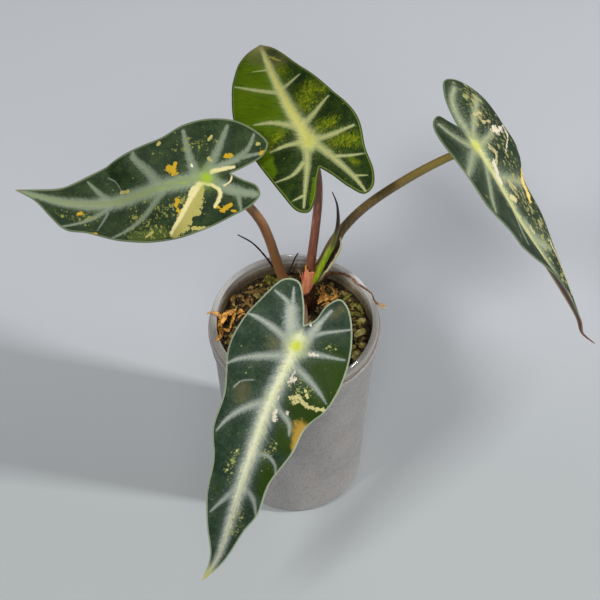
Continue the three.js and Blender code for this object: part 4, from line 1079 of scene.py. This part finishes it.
# Left leaf: held nearly level on its stalk, dark green with grey-green veins, a large cream
# and white patch beside the notch, and scattered gold blots.
left_leaf = Leaf(dict(
    spine=[(-9, 6, 220), (-36, 0, 219.3), (-53, -3, 217.7), (-75, -4, 208.2), (-93.5, -3, 207),
           (-116.5, 2, 209.5)],
    facing=[(-35, -0.05, -0.60, 0.79), (0, -0.05, -0.62, 0.78), (85, -0.10, -0.66, 0.75)],
    fold=[(-35, 3, 3), (0, 6, 6), (80, 10, 10)],
    curl=[(-35, -0.006, -0.006), (80, -0.004, -0.004)],
    wave=dict(height=0.8, length=27, shift=0.15),
    rib=[(-12, 2.6), (0, 2.8), (40, 2.4), (60, 1.8), (84, 0.5)], rib_start=0,
    right=[(-10.3, 0), (-17, 1.8), (-24.5, 4.8), (-27.6, 9.5), (-24.5, 14.6), (-16, 21.2), (-6, 23.8),
           (6, 23), (15, 19.6), (28, 18), (38, 16.2), (51, 12.4), (64, 6), (74, 2.9), (84, 0)],
    left=[(-10.3, 0), (-14.5, 3.2), (-19.8, 6.8), (-20.6, 10.6), (-16.5, 14.4), (-6, 18), (5, 21), (16, 22.5),
          (29, 20.8), (41, 16.2), (52, 12.2), (60, 11.6), (67, 7), (74, 2.6), (84, 0)]))
left_veins = [
    (2.6, 0.8, [(-0.5, 2), (-7, 11), (-12.5, 19.5)]), (2.6, 0.8, [(4, 1.5), (5.5, 11), (6, 20.5)]),
    (2.6, 0.7, [(19.5, 1.5), (22, 8), (25.5, 15.5), (25, 17)]),
    (1.8, 0.4, [(43.5, 1.5), (48.5, 6), (52.5, 9.5)]),
    (0.35, 0.2, [(41.5, 10.5), (38, 8.5), (36.6, 5.5), (36.4, 2.5)]),
    (1.9, 0.6, [(-2, 2.2), (-10, 4.5), (-17.5, 7.5), (-20.5, 10.5), (-22.5, 14)]),
    (1.2, 0.5, [(-15, 5.8), (-25.5, 6)]), (1.5, 0.5, [(2, -1.5), (6, -7), (11, -12.5), (19, -20)]),
    (1.7, 0.4, [(18.5, -2), (30.5, -9.5), (43, -14.5)]),
    (1.2, 0.3, [(42.5, -1.5), (52.5, -7), (62.5, -10.5)]), (0.5, 0.2, [(44, -4), (48.5, -11)]),
    (2.3, 1.2, [(-2, -1.5), (-10.5, -7.5), (-19, -10.5)]), (1.3, 0.5, [(-11.5, -8.5), (-11.5, -16)]),
    (0.4, 0.3, [(-6.5, -4.5), (-9.5, -3), (-10.5, -0.6), (-11.5, 1)]),
]
left_patches = {
    "cream": [(2.0, 4.0, [(3, -4), (5.2, -8), (7.6, -12)]), (4.2, 4.0, [(8.8, -12.4), (12.5, -16)]),
        (3.6, 2.8, [(13.4, -17.4), (18.5, -20.5)]), (1.1, 0.9, [(9, -19.8), (2, -20.6), (-4, -19.6)]),
        (0.9, 0.7, [(-2.4, 7.7), (-3, 6.9)]), (1.0, 0.8, [(33.2, 3), (36.4, 3.4)]),
        (0.8, 0.6, [(15.4, 17.6), (16.2, 17.2)]), (0.8, 0.7, [(-23.2, 10), (-23.9, 10)]),
        (0.8, 0.6, [(-3.6, 15.2), (-5.2, 16.6)]), (0.7, 0.5, [(28.5, -16.4), (31.5, -17.4)])],
    "hole": [(2.2, 2.0, [(7.6, -16.9), (4, -16.8), (0, -17.2)]),
        (1.2, 1.2, [(0.4, -10.4), (-0.6, -8.4), (0.4, -6)])],
    "stripe": [(1.4, 0.9, [(3.5, -2), (8.5, -8), (14.5, -15), (20, -19.5)]),
        (1.0, 0.7, [(2.8, -2.2), (6, -3.2), (8.2, -5.8)]),
        (0.9, 1.2, [(1.4, -2), (-2.5, -4), (-4.5, -7), (-3, -10)]), (1.1, 0.8, [(-3, -10), (-1, -12.4)]),
        (1.2, 0.8, [(-2.6, 2.2), (-7.5, 2.4), (-12, 2.4)]),
        (0.5, 0.4, [(-6.5, -4.5), (-9.5, -3), (-11, 0.4)])],
    "pale": [(2.6, 1.6, [(-6, -5), (-12, -8), (-18, -10.2)]), (1.6, 1.0, [(-3, 3), (-14, 5)])],
    "gold": [(1.9, 1.7, [(14, 6.3), (12.6, 5)]), (1.1, 0.9, [(11.8, 7), (11.2, 8)]),
        (1.1, 0.9, [(-9.6, 7.4), (-12, 7.2)]), (1.1, 0.8, [(-24.2, 6), (-26.3, 6.4)]),
        (1.0, 0.8, [(55, -4.1), (56, -4.4)]), (1.3, 0.9, [(13.5, -7.2), (14.5, -9.2)]),
        (0.7, 0.6, [(14.2, -10.8), (13.4, -12.6)]), (1.2, 0.8, [(-4, -14.4), (-8, -12.6)]),
        (0.8, 0.6, [(-1.8, -12.4), (-2.8, -12.8)]), (0.8, 0.5, [(-8.2, -15.4), (-9.2, -15.6)]),
        (0.6, 0.5, [(49, -12.3), (52, -12.2)])],
    "fleck": [(7, 7, [(12, -9), (34, -9)]), (5, 5, [(-4, 15), (10, 14)]), (4, 4, [(50, -6), (62, -5)]),
        (6, 5, [(24, -17), (38, -14)])],
    "white": [(0.7, 0.6, [(5.2, 6.4), (5, 5.8)])],
    "lime": [(2.6, 2.2, [(24, -18.4), (36, -16.4)])],
}
left_face = leaf_face(
    "left_leaf_face", dark=tint(20, 38, 16), mid=tint(44, 62, 30), lime=tint(66, 82, 32),
    silver=tint(120, 133, 112), pale=tint(132, 145, 120), core=tint(126, 140, 96), cream=tint(168, 161, 90),
    gold=tint(188, 152, 22), margin=tint(124, 136, 106), specks=tint(128, 132, 66), seat=tint(144, 172, 34),
    tip=(tint(128, 124, 92), 0.95, 1.0), glow=0.6, blur=0.7, band=0.7, solid=1.8, fade=0.0, haze=0.22)
left_blade = blade("left_blade", left_leaf, left_veins, left_patches, left_face, maroon_back)
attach(left_blade, "root")
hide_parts("blade_left")

# Back leaf: a short broad blade facing up, one half plain lime, the other dark green streaked
# with olive, with pale yellow veins.
back_leaf = Leaf(dict(
    spine=[(16.5, -12, 217), (6.3, 20, 219.4), (-1.3, 39, 218.3), (-7.5, 59, 214.4), (-15.5, 90, 208)],
    facing=[(-35, -0.10, -0.05, 0.99), (0, -0.20, 0, 0.97), (70, -0.30, 0.15, 0.94)],
    fold=[(-35, 4, 4), (0, 6, 6), (70, 8, 8)],
    curl=[(-35, -0.006, -0.006), (70, -0.004, -0.004)],
    wave=dict(height=0.8, length=33, shift=0.1),
    rib=[(-15, 3), (0, 3.7), (8, 2.9), (30, 2.1), (55, 1.5), (74, 0.6)], rib_start=-2,
    right=[(-14.5, 0), (-20, 3.6), (-28, 8), (-33.8, 13), (-32, 17.4), (-25, 20.2), (-12, 20.8), (0, 23),
           (10, 22), (22, 19.8), (35, 16.2), (48, 12), (60, 8), (68, 4.6), (74.5, 0)],
    left=[(-14.5, 0), (-20.5, 3), (-28, 6), (-34, 11), (-32, 15.2), (-22, 19), (-10, 21.8), (4, 24.2),
          (18, 25), (30, 23.8), (42, 20.6), (54, 17.2), (64, 12.8), (70.5, 7), (74.5, 0)]))
back_veins = [
    (1.8, 0.5, [(34, -0.5), (41.5, -10), (48, -17.5)]), (2.3, 0.6, [(10.5, -2), (17, -9.5), (20, -17)]),
    (1.9, 0.7, [(0.5, -2.5), (2, -9), (2, -16.5)]), (0.8, 0.3, [(53.5, -1.5), (55.5, -8)]),
    (2.6, 0.5, [(-2, -1.5), (-8, -3.5), (-14, -5.5), (-23, -9), (-31.5, -12.3)]),
    (1.5, 0.4, [(-10, -5.5), (-14.5, -12), (-15.5, -19.5)]), (0.9, 0.3, [(-26, -10.5), (-27, -16)]),
    (1.6, 0.5, [(36.5, 2), (40, 10.5)]), (2.2, 0.6, [(9.5, 2), (13, 9), (18.5, 17)]),
    (2.2, 0.6, [(-0.5, 2), (-1.5, 9), (-1.5, 20)]),
    (2.4, 0.5, [(-2, 2), (-13, 7), (-25.5, 12), (-33.5, 14)]),
    (1.1, 0.4, [(-12, 7.5), (-14, 14), (-15, 19.5)]), (0.8, 0.3, [(-24, 11.5), (-26, 17)]),
]
back_patches = {
    "lime": [(15, 14, [(24, -14), (50, -11)]), (3.5, 3, [(1, -19.5), (-10, -20.5)]),
        (1.2, 1.2, [(-20, -3.6), (-31, -8.6)]), (5, 4, [(62, -8), (68, -4)])],
    "streak": [(4.5, 3.5, [(6, -16), (9, -9)]), (7, 6, [(48, 3), (54, 2)]), (9, 7, [(20, 6), (28, 12)]),
        (4, 3, [(24, 16), (27, 11)]), (5, 4, [(4, 7), (4, 13)]), (7, 6, [(-5, 11), (-7, 17)]),
        (2, 2, [(-15, 13), (-19, 15)])],
    "brown": [(8, 7, [(64, -3), (56, 5)])],
    "cream": [(0.7, 0.5, [(62, 2), (55, 5.4)])],
}
back_face = leaf_face(
    "back_leaf_face", dark=tint(18, 36, 8), mid=tint(42, 62, 12), lime=tint(76, 100, 0),
    silver=tint(152, 162, 114), pale=tint(192, 192, 122), core=tint(202, 199, 108), cream=tint(150, 148, 60),
    gold=tint(150, 146, 34), margin=tint(120, 134, 60), specks=tint(124, 132, 20), seat=tint(184, 188, 96),
    tip=(tint(130, 126, 80), 0.86, 1.0), band=0.9, glow=0.75, blur=0.5, rim=0.75, fan=0.6, haze=0.16)
back_blade = blade("back_blade", back_leaf, back_veins, back_patches, back_face, maroon_back)
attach(back_blade, "root")
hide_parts("blade_back")

# Right leaf: a long narrow blade on the tallest stalk, hanging with its far half turned to the
# light. That half is dusted with cream; the near half is plain dark, and the tip is maroon.
right_leaf = Leaf(dict(
    spine=[(62, 27, 231.5), (75.5, 15, 221.5), (88, 6, 203.5), (97.5, 1, 187.5), (112, -5, 164.5),
           (127, -10, 137), (131, -11, 125.5), (137, -13, 120.5)],
    facing=[(-30, 0.54, -0.09, 0.84), (0, 0.69, -0.10, 0.72), (40, 0.83, -0.13, 0.54), (80, 0.87, 0.05, 0.48),
            (125, 0.87, 0.05, 0.48)],
    fold=[(-30, 10, 10), (0, 11, 11), (40, 5, 14), (80, 18, 28), (125, 20, 30)],
    curl=[(-30, -0.004, -0.004), (125, -0.004, -0.004)],
    wave=dict(height=0.6, length=35, shift=0.3),
    rib=[(-12, 2.6), (0, 2.8), (30, 2.4), (60, 2.0), (90, 1.4), (123, 0.6)], rib_start=-2,
    left=[(-11, 0), (-17, 2), (-25, 6), (-29.6, 11.5), (-27, 17), (-18, 21.8), (-6, 24.2), (8, 25.8),
          (22, 25.4), (36, 23.6), (48, 20), (60, 16.2), (74, 11), (86, 6.6), (98, 3.4), (108, 1.4),
          (123, 0)],
    right=[(-11, 0), (-15, 3.2), (-20, 7), (-19, 14), (-11, 20.6), (-2, 24.6), (8, 24), (22, 22), (36, 19),
           (50, 15.4), (62, 12), (76, 8.4), (90, 5.4), (106, 2.6), (123, 0)]))
right_veins = [
    (2.8, 1.4, [(-1, 0), (-7.5, -2), (-14.5, -3.5), (-21.5, -7.5), (-24.5, -13)]),
    (2.2, 1.4, [(-2.5, -0.5), (-9, -9.5), (-15, -19)]), (2.8, 1.6, [(1, -1.5), (1.5, -15.5)]),
    (2.8, 2.0, [(17, -2), (24, -9), (31, -15.6), (36, -20)]), (3.0, 1.6, [(50, -1), (58, -5), (66, -8.5)]),
    (2.8, 1.2, [(-1, 2), (-4.5, 7), (-11, 11), (-16.5, 12)]), (3.0, 1.2, [(0, 3), (2, 24)]),
    (2.7, 1.0, [(8, 2), (12, 9), (17, 17), (20, 20)]), (1.6, 0.6, [(34, 1), (46, 10)]),
    (1.4, 0.5, [(58, 1), (68, 6)]),
]
right_patches = {
    "white": [(1.9, 1.7, [(0, -16.5), (3.2, -17.8), (4.2, -21.4)]),
        (1.0, 0.8, [(4.5, -24), (9.5, -22.5), (13, -16)]), (1.6, 1.4, [(11, -4), (16, -2.5), (20.5, -1.8)]),
        (0.8, 0.7, [(1.6, -1.2), (2.4, -1.4)])],
    "cream": [(1.3, 1.4, [(4.5, -7), (8.5, -8.5), (12.5, -5.5)]), (1.3, 1.0, [(12.5, -5.5), (11.5, -1.8)]),
        (1.5, 1.3, [(24.6, -7.2), (29.6, -9.4)]), (0.8, 0.6, [(19, -25), (22.6, -24.6)]),
        (0.9, 0.7, [(-11, -12), (-9.4, -15)]), (1.0, 0.8, [(-5.6, -13), (-4.4, -16)]),
        (1.1, 0.8, [(48, -4), (52, -4.6)]), (1.2, 0.9, [(88, -1.6), (96, -1.2), (103, -0.8)])],
    "gold": [(1.4, 2.6, [(28, -21.4), (33, -20.6)]), (3.4, 1.6, [(34, -19.8), (38.4, -19), (42.6, -15.8)])],
    "stripe": [(1.6, 1.4, [(29, -3.2), (32.4, -4.6)]), (0.8, 0.6, [(64, -11.6), (78, -8.2), (92, -4)])],
    "pale": [(2.6, 1.4, [(44, -2), (54, -2.4), (63, -5.6)])],
    "fleck": [(14, 13, [(-18, -17), (-6, -17), (14, -14)]), (12, 10, [(14, -14), (40, -12)]),
        (12, 7, [(40, -12), (84, -7)]), (6, 6, [(-18, -16), (-8, -14)]), (3, 3, [(20, 6), (26, 6)])],
}
right_face = leaf_face(
    "right_leaf_face", dark=tint(30, 44, 28), mid=tint(54, 70, 46), lime=tint(60, 80, 30),
    silver=tint(138, 150, 126), pale=tint(192, 194, 146), core=tint(208, 206, 142), cream=tint(188, 177, 132),
    gold=tint(246, 216, 124), margin=tint(118, 130, 102), specks=tint(160, 158, 104), seat=tint(196, 200, 96),
    tip=(tint(104, 52, 50), 0.865, 0.9), dash=2.4, band=0.6, blur=1.2, fade=0.75, glow=0.45, haze=0.6)
right_blade = blade("right_blade", right_leaf, right_veins, right_patches, right_face, maroon_back)
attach(right_blade, "root")
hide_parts("blade_right")

# New leaf: the next blade, still rolled up on itself, bright green below and drawn out to a
# fine dark point. The free edge of the roll winds round it.
SHOOT_PATH = [(6.8, 14.4, 121), (7.6, 14, 128), (8.5, 13.3, 132), (9.7, 12.4, 135.8), (11, 12, 140.7),
              (12.3, 12, 145.5), (13.7, 12, 150.2), (15.2, 11.8, 155.5), (16.7, 11.5, 160.4), (18, 11, 167.6),
              (19.1, 10.5, 175.9), (19, 10, 185.3), (18.3, 10, 191.9), (16.3, 10, 199.1)]
SHOOT_RADII = [1.2, 1.3, 1.4, 1.35, 1.2, 0.95, 0.55, 0.2]


def rolled(share, turn):
    """The overlap of the roll: the skin grows outwards all round and steps back at the edge."""
    phase = (turn - 1.2 - 3.5 * share) % (2 * math.pi)
    return 0.9 + 0.2 * phase / (2 * math.pi)


roll = Finish("shoot_skin", Roughness=0.35, Subsurface_Weight=0.15, Subsurface_Scale=0.003)
share = roll.field("share")
veining = roll.grain(0.8, 3, 0.6, (1, 1, 0.08))
green = roll.blend(tint(134, 164, 14), tint(176, 196, 52), roll.step(veining, 0.4, 0.65))
green = roll.blend(green, tint(104, 108, 40), roll.step(share, 0.48, 0.56))
green = roll.blend(green, tint(62, 40, 28), roll.step(share, 0.58, 0.74))
roll.colour(roll.blend(green, tint(40, 24, 22), roll.step(share, 0.74, 0.9)))
roll.relief(veining, 0.08)
points, faces, shares = tube(SHOOT_PATH, SHOOT_RADII, 120, 40, rolled)
shoot = form("rolled_new_leaf", points, faces, roll.material)
label(shoot, share=shares)
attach(shoot, "root")
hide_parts("new_leaf")

# Dried edge: the withered wing of the right stalk's foot, a dark ragged strip with a pale
# crisp margin, standing beside the new leaf.
DRIED_PATH = [(10.6, 13.4, 133), (12.7, 13, 139.7), (14.4, 12.9, 143), (16, 12.8, 146.7), (17.5, 12.7, 150.6),
              (19.1, 12.6, 155.3), (20.1, 12.5, 159), (20.5, 12.5, 166)]
DRIED_WIDTHS = [0.8, 1.2, 1.4, 1.35, 1.3, 1.2, 0.8, 0.3]
DRIED_RINGS = 110
DRIED_SIDES = 28
DRIED_TURN = 0.5                  # how far the strip is turned on its path, in radians


def ribbon_ragged(share, turn):
    """A flat strip with torn sides."""
    tear = 0.3 * noise.noise(Vector((share * 30, 0, 2))) + 0.25 * noise.noise(Vector((share * 75, 4, 0)))
    turn = turn + DRIED_TURN
    return 1 / np.sqrt((np.sin(turn) / (1.1 + tear)) ** 2 + (np.cos(turn) / 0.3) ** 2)


withered = Finish("withered_skin", Roughness=0.7)
crisp = withered.grain(0.9, 4, 0.7, (1, 1, 0.3))
rag = withered.blend(tint(30, 22, 14), tint(66, 50, 28), withered.step(crisp, 0.45, 0.65))
dry = withered.scaled(withered.sums("SUBTRACT", crisp, 0.5), 1.2, withered.field("outside"))
withered.colour(withered.blend(rag, tint(206, 200, 158), withered.step(dry, 0.42, 0.62)))
withered.relief(crisp, 0.15)
points, faces, shares = tube(DRIED_PATH, DRIED_WIDTHS, DRIED_RINGS, DRIED_SIDES, ribbon_ragged)
rag_edge = form("withered_edge", points, faces, withered.material)
turns = np.linspace(0, 2 * math.pi, DRIED_SIDES, endpoint=False)
outside = np.concatenate([np.tile(-np.sin(turns + DRIED_TURN), DRIED_RINGS) * 0.8, [0, 1]])
label(rag_edge, outside=np.maximum(outside, (shares - 0.86) * 8))
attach(rag_edge, "root")
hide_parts("dried_edge")

# Dried moss: curled strands of old sphagnum that came with the mix, orange-brown at the left
# and beside the crown, yellow-green at the right. Frayed scales stand off each strand.
STRAND = 0.8
TWIGS = 5                         # thin twigs that make up a strand


def laid(path):
    """A strand's points (x, y, rise) on the soil."""
    return [(x, y, float(soil_height(x, y)) + STRAND + GAP + rise) for x, y, rise in path]


MOSS = {
    "moss_loop_left": ("orange", [
        ([(-39.8, 2.7, 122.4), (-37.6, 2.7, 123.2), (-36, 2.5, 122.8), (-34.6, 2.6, 119.8),
          (-34.1, 3.2, 117.4)], [0.3, 0.5, 0.6, 0.8]),
        ([(-34.5, 1.2, 116.6), (-34, 3.4, 117.4), (-32.3, 5.6, 117), (-30.6, 7.8, 115.6),
          (-28.2, 10.6, 113.9)], [1.1, 1.5, 1.4, 1.1, 0.6]),
        ([(-34.5, 1.6, 116.6), (-34.6, 0, 115.6), (-33.9, -3.8, 117.5), (-33.7, -7.9, 120.5),
          (-34.3, -11.1, 122.9), (-35.3, -12.5, 122.7)], [1, 0.9, 0.8, 0.7, 0.9, 0.5]),
        (laid([(-28.4, 10.4, 0.5), (-28.7, 5.6, 0.5), (-29.6, 1.8, 0.4), (-31.2, -0.6, 0.6),
               (-33.6, -0.4, 2)]), [0.5, 0.7, 0.6, 0.7, 0.7]),
        (laid([(-26.5, 10.3, 0), (-25.1, 11.4, 0.6), (-23.9, 11.2, 0)]), [0.4, 0.6, 0.3]),
        (laid([(-26.2, 8, 0), (-24.8, 9.2, 0.5), (-23, 9.8, 0)]), [0.4, 0.6, 0.3])]),
    "moss_strand_left": ("tan", [
        (laid([(-23.6, 21.6, -0.2), (-19, 22.2, 0.2), (-14, 23.9, -0.2)]), [0.4, 0.7, 0.4])]),
    "moss_bits_left": ("tan", [
        (laid([(-28.9, 14.5, 0), (-28.8, 17.6, 0.5), (-27.9, 19.2, 0.6), (-26, 19.6, 0.4), (-24, 19.3, 0)]),
         [0.4, 0.8, 0.8, 0.7, 0.4]),
        (laid([(-24.3, 18, 0), (-22.4, 15.5, 0.8), (-20, 13.7, 0)]), [0.5, 0.9, 0.5]),
        (laid([(-21, 19.1, 0), (-19.6, 16.2, 0.6), (-21.4, 13.9, 0.1)]), [0.5, 0.8, 0.5]),
        (laid([(-24.6, 14.2, 0), (-23, 15.6, 0.6), (-21.7, 17.3, 0.6), (-19.4, 17.6, 0)]),
         [0.5, 0.7, 0.7, 0.4])]),
    "moss_star_right": ("orange", [
        (laid([(12.5, 24.9, 0.2), (13.2, 22.5, 0.7), (13.9, 20.2, 1), (14.6, 17.4, 1.2)]),
         [0.3, 0.9, 1.5, 1.7]),
        (laid([(13.6, 20, 0.8), (12.8, 17.6, 0.8), (10.8, 15.4, 0)]), [1.2, 1.3, 0.5]),
        (laid([(14.6, 18.4, 0.8), (16.4, 17.9, 0.7), (18.4, 18.2, 0.3)]), [1.1, 0.9, 0.5]),
        (laid([(15, 17.6, 0.6), (15.6, 15.2, 0.2), (14.4, 13.4, 0)]), [1.1, 0.8, 0.3]),
        (laid([(16.1, 25.9, 0.3), (17.5, 24.2, 0.8), (18.8, 22.2, 1), (19.6, 20.4, 0.8), (19.4, 18.4, 0.3)]),
         [0.3, 0.5, 0.6, 0.6, 0.5])]),
    "moss_curl_right": ("green", [
        (laid([(27.4, 16, -0.1), (29.4, 14.2, 0.3), (31, 12, 0.1), (32, 10, -0.1)]), [0.6, 0.9, 0.8, 0.5]),
        (laid([(29.6, 13.8, 0.3), (30.8, 13.9, 0.9), (32, 12, 0.1)]), [0.8, 0.7, 0.4])]),
    "moss_tuft_left": ("green", [
        (laid([(-13.4, 31.2, 0), (-12.6, 30, 1), (-11.6, 28.2, 0)]), [0.8, 1.3, 0.7]),
        (laid([(-14.6, 28.6, 0), (-12.6, 29.6, 0.8), (-10, 30.4, 0)]), [0.6, 1, 0.5])]),
    "moss_tuft_right": ("green", [
        (laid([(23.4, 17.8, 0), (24.8, 18.4, 0.8), (25.9, 20.4, 0)]), [0.7, 1.2, 0.6])]),
}


def strand_section(share, turn):
    """Twisted, with knots."""
    knot = 0.3 * noise.noise(Vector((share * 9, 1, 0)))
    return (1 + knot) * (1 + 0.25 * np.cos(2 * turn + 5 * share) + 0.08 * np.cos(5 * turn - 8 * share))


def scales(path, radii, count):
    """Small pointed scales that stand off a strand, each a closed three-sided spindle."""
    curve = bend(path)
    reach = lengths(curve)
    points, faces = [], []
    for _ in range(count):
        at = rng.uniform(0.03, 0.97)
        here = np.array([np.interp(at * reach[-1], reach, curve[:, i]) for i in range(3)])
        there = np.array([np.interp(min(at + 0.03, 1) * reach[-1], reach, curve[:, i]) for i in range(3)])
        way = (there - here) / np.linalg.norm(there - here)
        out = rng.normal(size=3)
        out -= way * out.dot(way)
        out /= np.linalg.norm(out)
        out[2] = abs(out[2])
        radius = np.interp(at, np.linspace(0, 1, len(radii)), radii)
        tip = here + out * (radius * rng.uniform(1.3, 2.0)) + way * rng.uniform(0.3, 1.2)
        root = here + out * radius * 0.5
        belly = root * 0.5 + tip * 0.5
        side = np.cross(way, out) * rng.uniform(0.12, 0.26)
        join(points, faces, [root, belly + side, belly - side, belly + out * 0.14, tip],
             [(0, 2, 1), (0, 1, 3), (0, 3, 2), (4, 1, 2), (4, 3, 1), (4, 2, 3)])
    return points, faces


def moss_paint(name, deep, bright, straw):
    paint = Finish(name, Roughness=0.8, Specular_IOR_Level=0.3)
    tuft = paint.blend(deep, bright, paint.step(paint.grain(1.6, 4, 0.7), 0.35, 0.62))
    paint.colour(paint.blend(tuft, straw, paint.step(paint.grain(0.7, 3, 0.7), 0.6, 0.72)))
    paint.relief(paint.grain(0.4, 3), 0.15)
    return paint.material


tan_moss = moss_paint("tan_moss", tint(96, 72, 36), tint(172, 136, 78), tint(206, 174, 120))
orange_moss = moss_paint("orange_moss", tint(164, 106, 46), tint(240, 184, 94), tint(252, 220, 150))
green_moss = moss_paint("green_moss", tint(78, 78, 26), tint(164, 160, 66), tint(222, 214, 146))
MOSS_LOOKS = {                    # the paint and the slot of each shade
    "tan": (tan_moss, "moss_orange"), "orange": (orange_moss, "moss_orange"),
    "green": (green_moss, "moss_green"),
}
for name, (shade, strands) in MOSS.items():
    paint, slot = MOSS_LOOKS[shade]
    points, faces = [], []
    for path, radii in strands:
        span = lengths(bend(path))[-1]
        for _ in range(TWIGS):
            drift = rng.normal(0, 0.5, (len(path), 3)) * (1, 1, 0.6) * max(radii)
            thin = [r * rng.uniform(0.3, 0.6) for r in radii]
            twig = np.asarray(path) + drift
            join(points, faces, *tube(twig, thin, max(12, int(span * 2.2)), 9, strand_section)[:2])
        join(points, faces, *scales(path, radii, int(span * 4)))
    clump = form(f"{name}_strands", points, faces, paint)
    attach(clump, "root")
    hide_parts(name)

# Chips: twelve broken bits of bark and pumice, half sunk in the mix, most of them at the right
# side. They are straw yellow with dark pores.
CHIPS = [
    # x, y, half sizes, turn
    (31.4, 6.4, (1.9, 1.4, 1.2), 20), (30.0, -1.2, (3.2, 1.6, 1.3), 32), (31.4, -7.8, (1.7, 1.6, 1.3), 0),
    (27.2, -8.8, (1.3, 1.1, 0.9), 40), (28.2, -14.2, (3, 2, 1.5), 60), (20.6, -21.5, (2.4, 1.8, 1.4), 110),
    (9.5, -28.5, (2, 1.6, 1.3), 15), (-7.5, -25, (2.8, 1.7, 1.4), 150), (-19.5, -18.5, (2.1, 1.8, 1.5), 70),
    (-22.5, 3.5, (1.9, 1.5, 1.1), 35), (14.5, -8.5, (2.2, 1.5, 1.2), 95), (-8.5, 4.5, (1.7, 1.3, 1.1), 125),
]
chip_paint = Finish("pumice_chip", Roughness=0.85, Specular_IOR_Level=0.3)
pores = chip_paint.grain(0.6, 3, 0.7)
chip_shade = chip_paint.step(chip_paint.grain(2, 3), 0.4, 0.65)
chip_shade = chip_paint.blend(tint(184, 170, 86), tint(240, 228, 150), chip_shade)
chip_shade = chip_paint.blend(chip_shade, tint(72, 56, 32), chip_paint.step(pores, 0.54, 0.68))
chip_paint.colour(chip_shade)
chip_paint.relief(pores, 0.25)
for n, (x, y, size, turn) in enumerate(CHIPS):
    lump, faces = pebble(3, 0.42, n + 20)
    lump = np.sign(lump) * np.abs(lump) ** 0.9 * size
    points = spun(lump, math.radians(turn), 0, 1) + (x, y, float(soil_height(x, y)) + 0.25 * size[2])
    chip = form(f"pumice_{n + 1}", points, faces, chip_paint.material)
    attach(chip, "root")
    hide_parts(f"chip_{n + 1}")

# Stray fibres: an old brown root that climbs the wall, lies along the lip and ends in a dry
# frayed tip outside it, and two thin dark fibres that stand up at the rear.
STRAYS = {
    "root_on_rim": dict(
        path=[(13.3, 31.9, 111), (14.2, 31.5, 113.8), (17.1, 30.3, 117.4), (20.4, 28.1, 120.1),
              (24.3, 24.8, 122.9), (26.9, 22.8, 123), (28.9, 19.8, 123), (32.3, 17.1, 123),
              (35.8, 13.7, 123), (37, 9.9, 123), (39, 7.2, 122.8), (42.2, 6.5, 122.2)],
        radii=[0.8, 0.8, 0.7, 0.6, 0.5, 0.5, 0.45, 0.35, 0.45, 0.3],
        deep=tint(108, 74, 54), bright=tint(176, 128, 96), slot="dry_root",
        hairs=[[(38, 8.4, 122.9), (40, 7.8, 122.9), (41.6, 7.4, 122.6)],
               [(38.4, 7.8, 122.8), (40.6, 6.2, 122.6), (42, 5.4, 122.2)],
               [(39.4, 7.2, 122.7), (41, 7.3, 122.9), (42.8, 6.2, 122.4)],
               [(38.8, 7.4, 122.8), (40, 6.4, 122.4), (41, 5.6, 122)]]),
    "dry_fibre_left": dict(
        path=[(-6.3, 32.6, 109.6), (-6.8, 32.1, 114.2), (-10.5, 31.3, 121.5), (-14.3, 31.9, 129.2),
              (-19.8, 32.2, 137.8), (-26.2, 32.7, 143)],
        radii=[0.5, 0.45, 0.4, 0.3], deep=tint(42, 32, 28), bright=tint(84, 68, 56), slot="dried_fibre"),
    "dry_fibre_back": dict(
        path=[(-3.4, 32.6, 109.6), (-2.7, 33, 114), (-0.3, 33.6, 122.7), (1.6, 34, 127.9)],
        radii=[0.5, 0.42, 0.28], deep=tint(52, 42, 36), bright=tint(96, 84, 72), slot="dried_fibre"),
}


def gnarled(share, turn):
    """Lumpy and a little twisted."""
    lump = 0.22 * noise.noise(Vector((share * 16, 7, 0))) + 0.12 * noise.noise(Vector((share * 45, 2, 0)))
    return 1 + lump + 0.07 * np.cos(3 * turn + 11 * share)


for name, stray in STRAYS.items():
    bark = Finish(f"{name}_skin", Roughness=0.75, Specular_IOR_Level=0.3)
    skin = bark.blend(stray["deep"], stray["bright"], bark.step(bark.grain(1.1, 4, 0.7), 0.38, 0.65))
    bark.colour(bark.blend(skin, tint(204, 178, 136), bark.step(bark.axis(0), 38.2 * MM, 39.4 * MM)))
    bark.relief(bark.grain(0.4, 3), 0.12)
    points, faces = [], []
    join(points, faces, *tube(stray["path"], stray["radii"], 120, 16, gnarled)[:2])
    for hair in stray.get("hairs", []):
        join(points, faces, *tube(hair, [0.3, 0.45, 0.12], 24, 8, gnarled)[:2])
    strand = form(f"{name}_strand", points, faces, bark.material)
    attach(strand, "root")
    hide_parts(name)
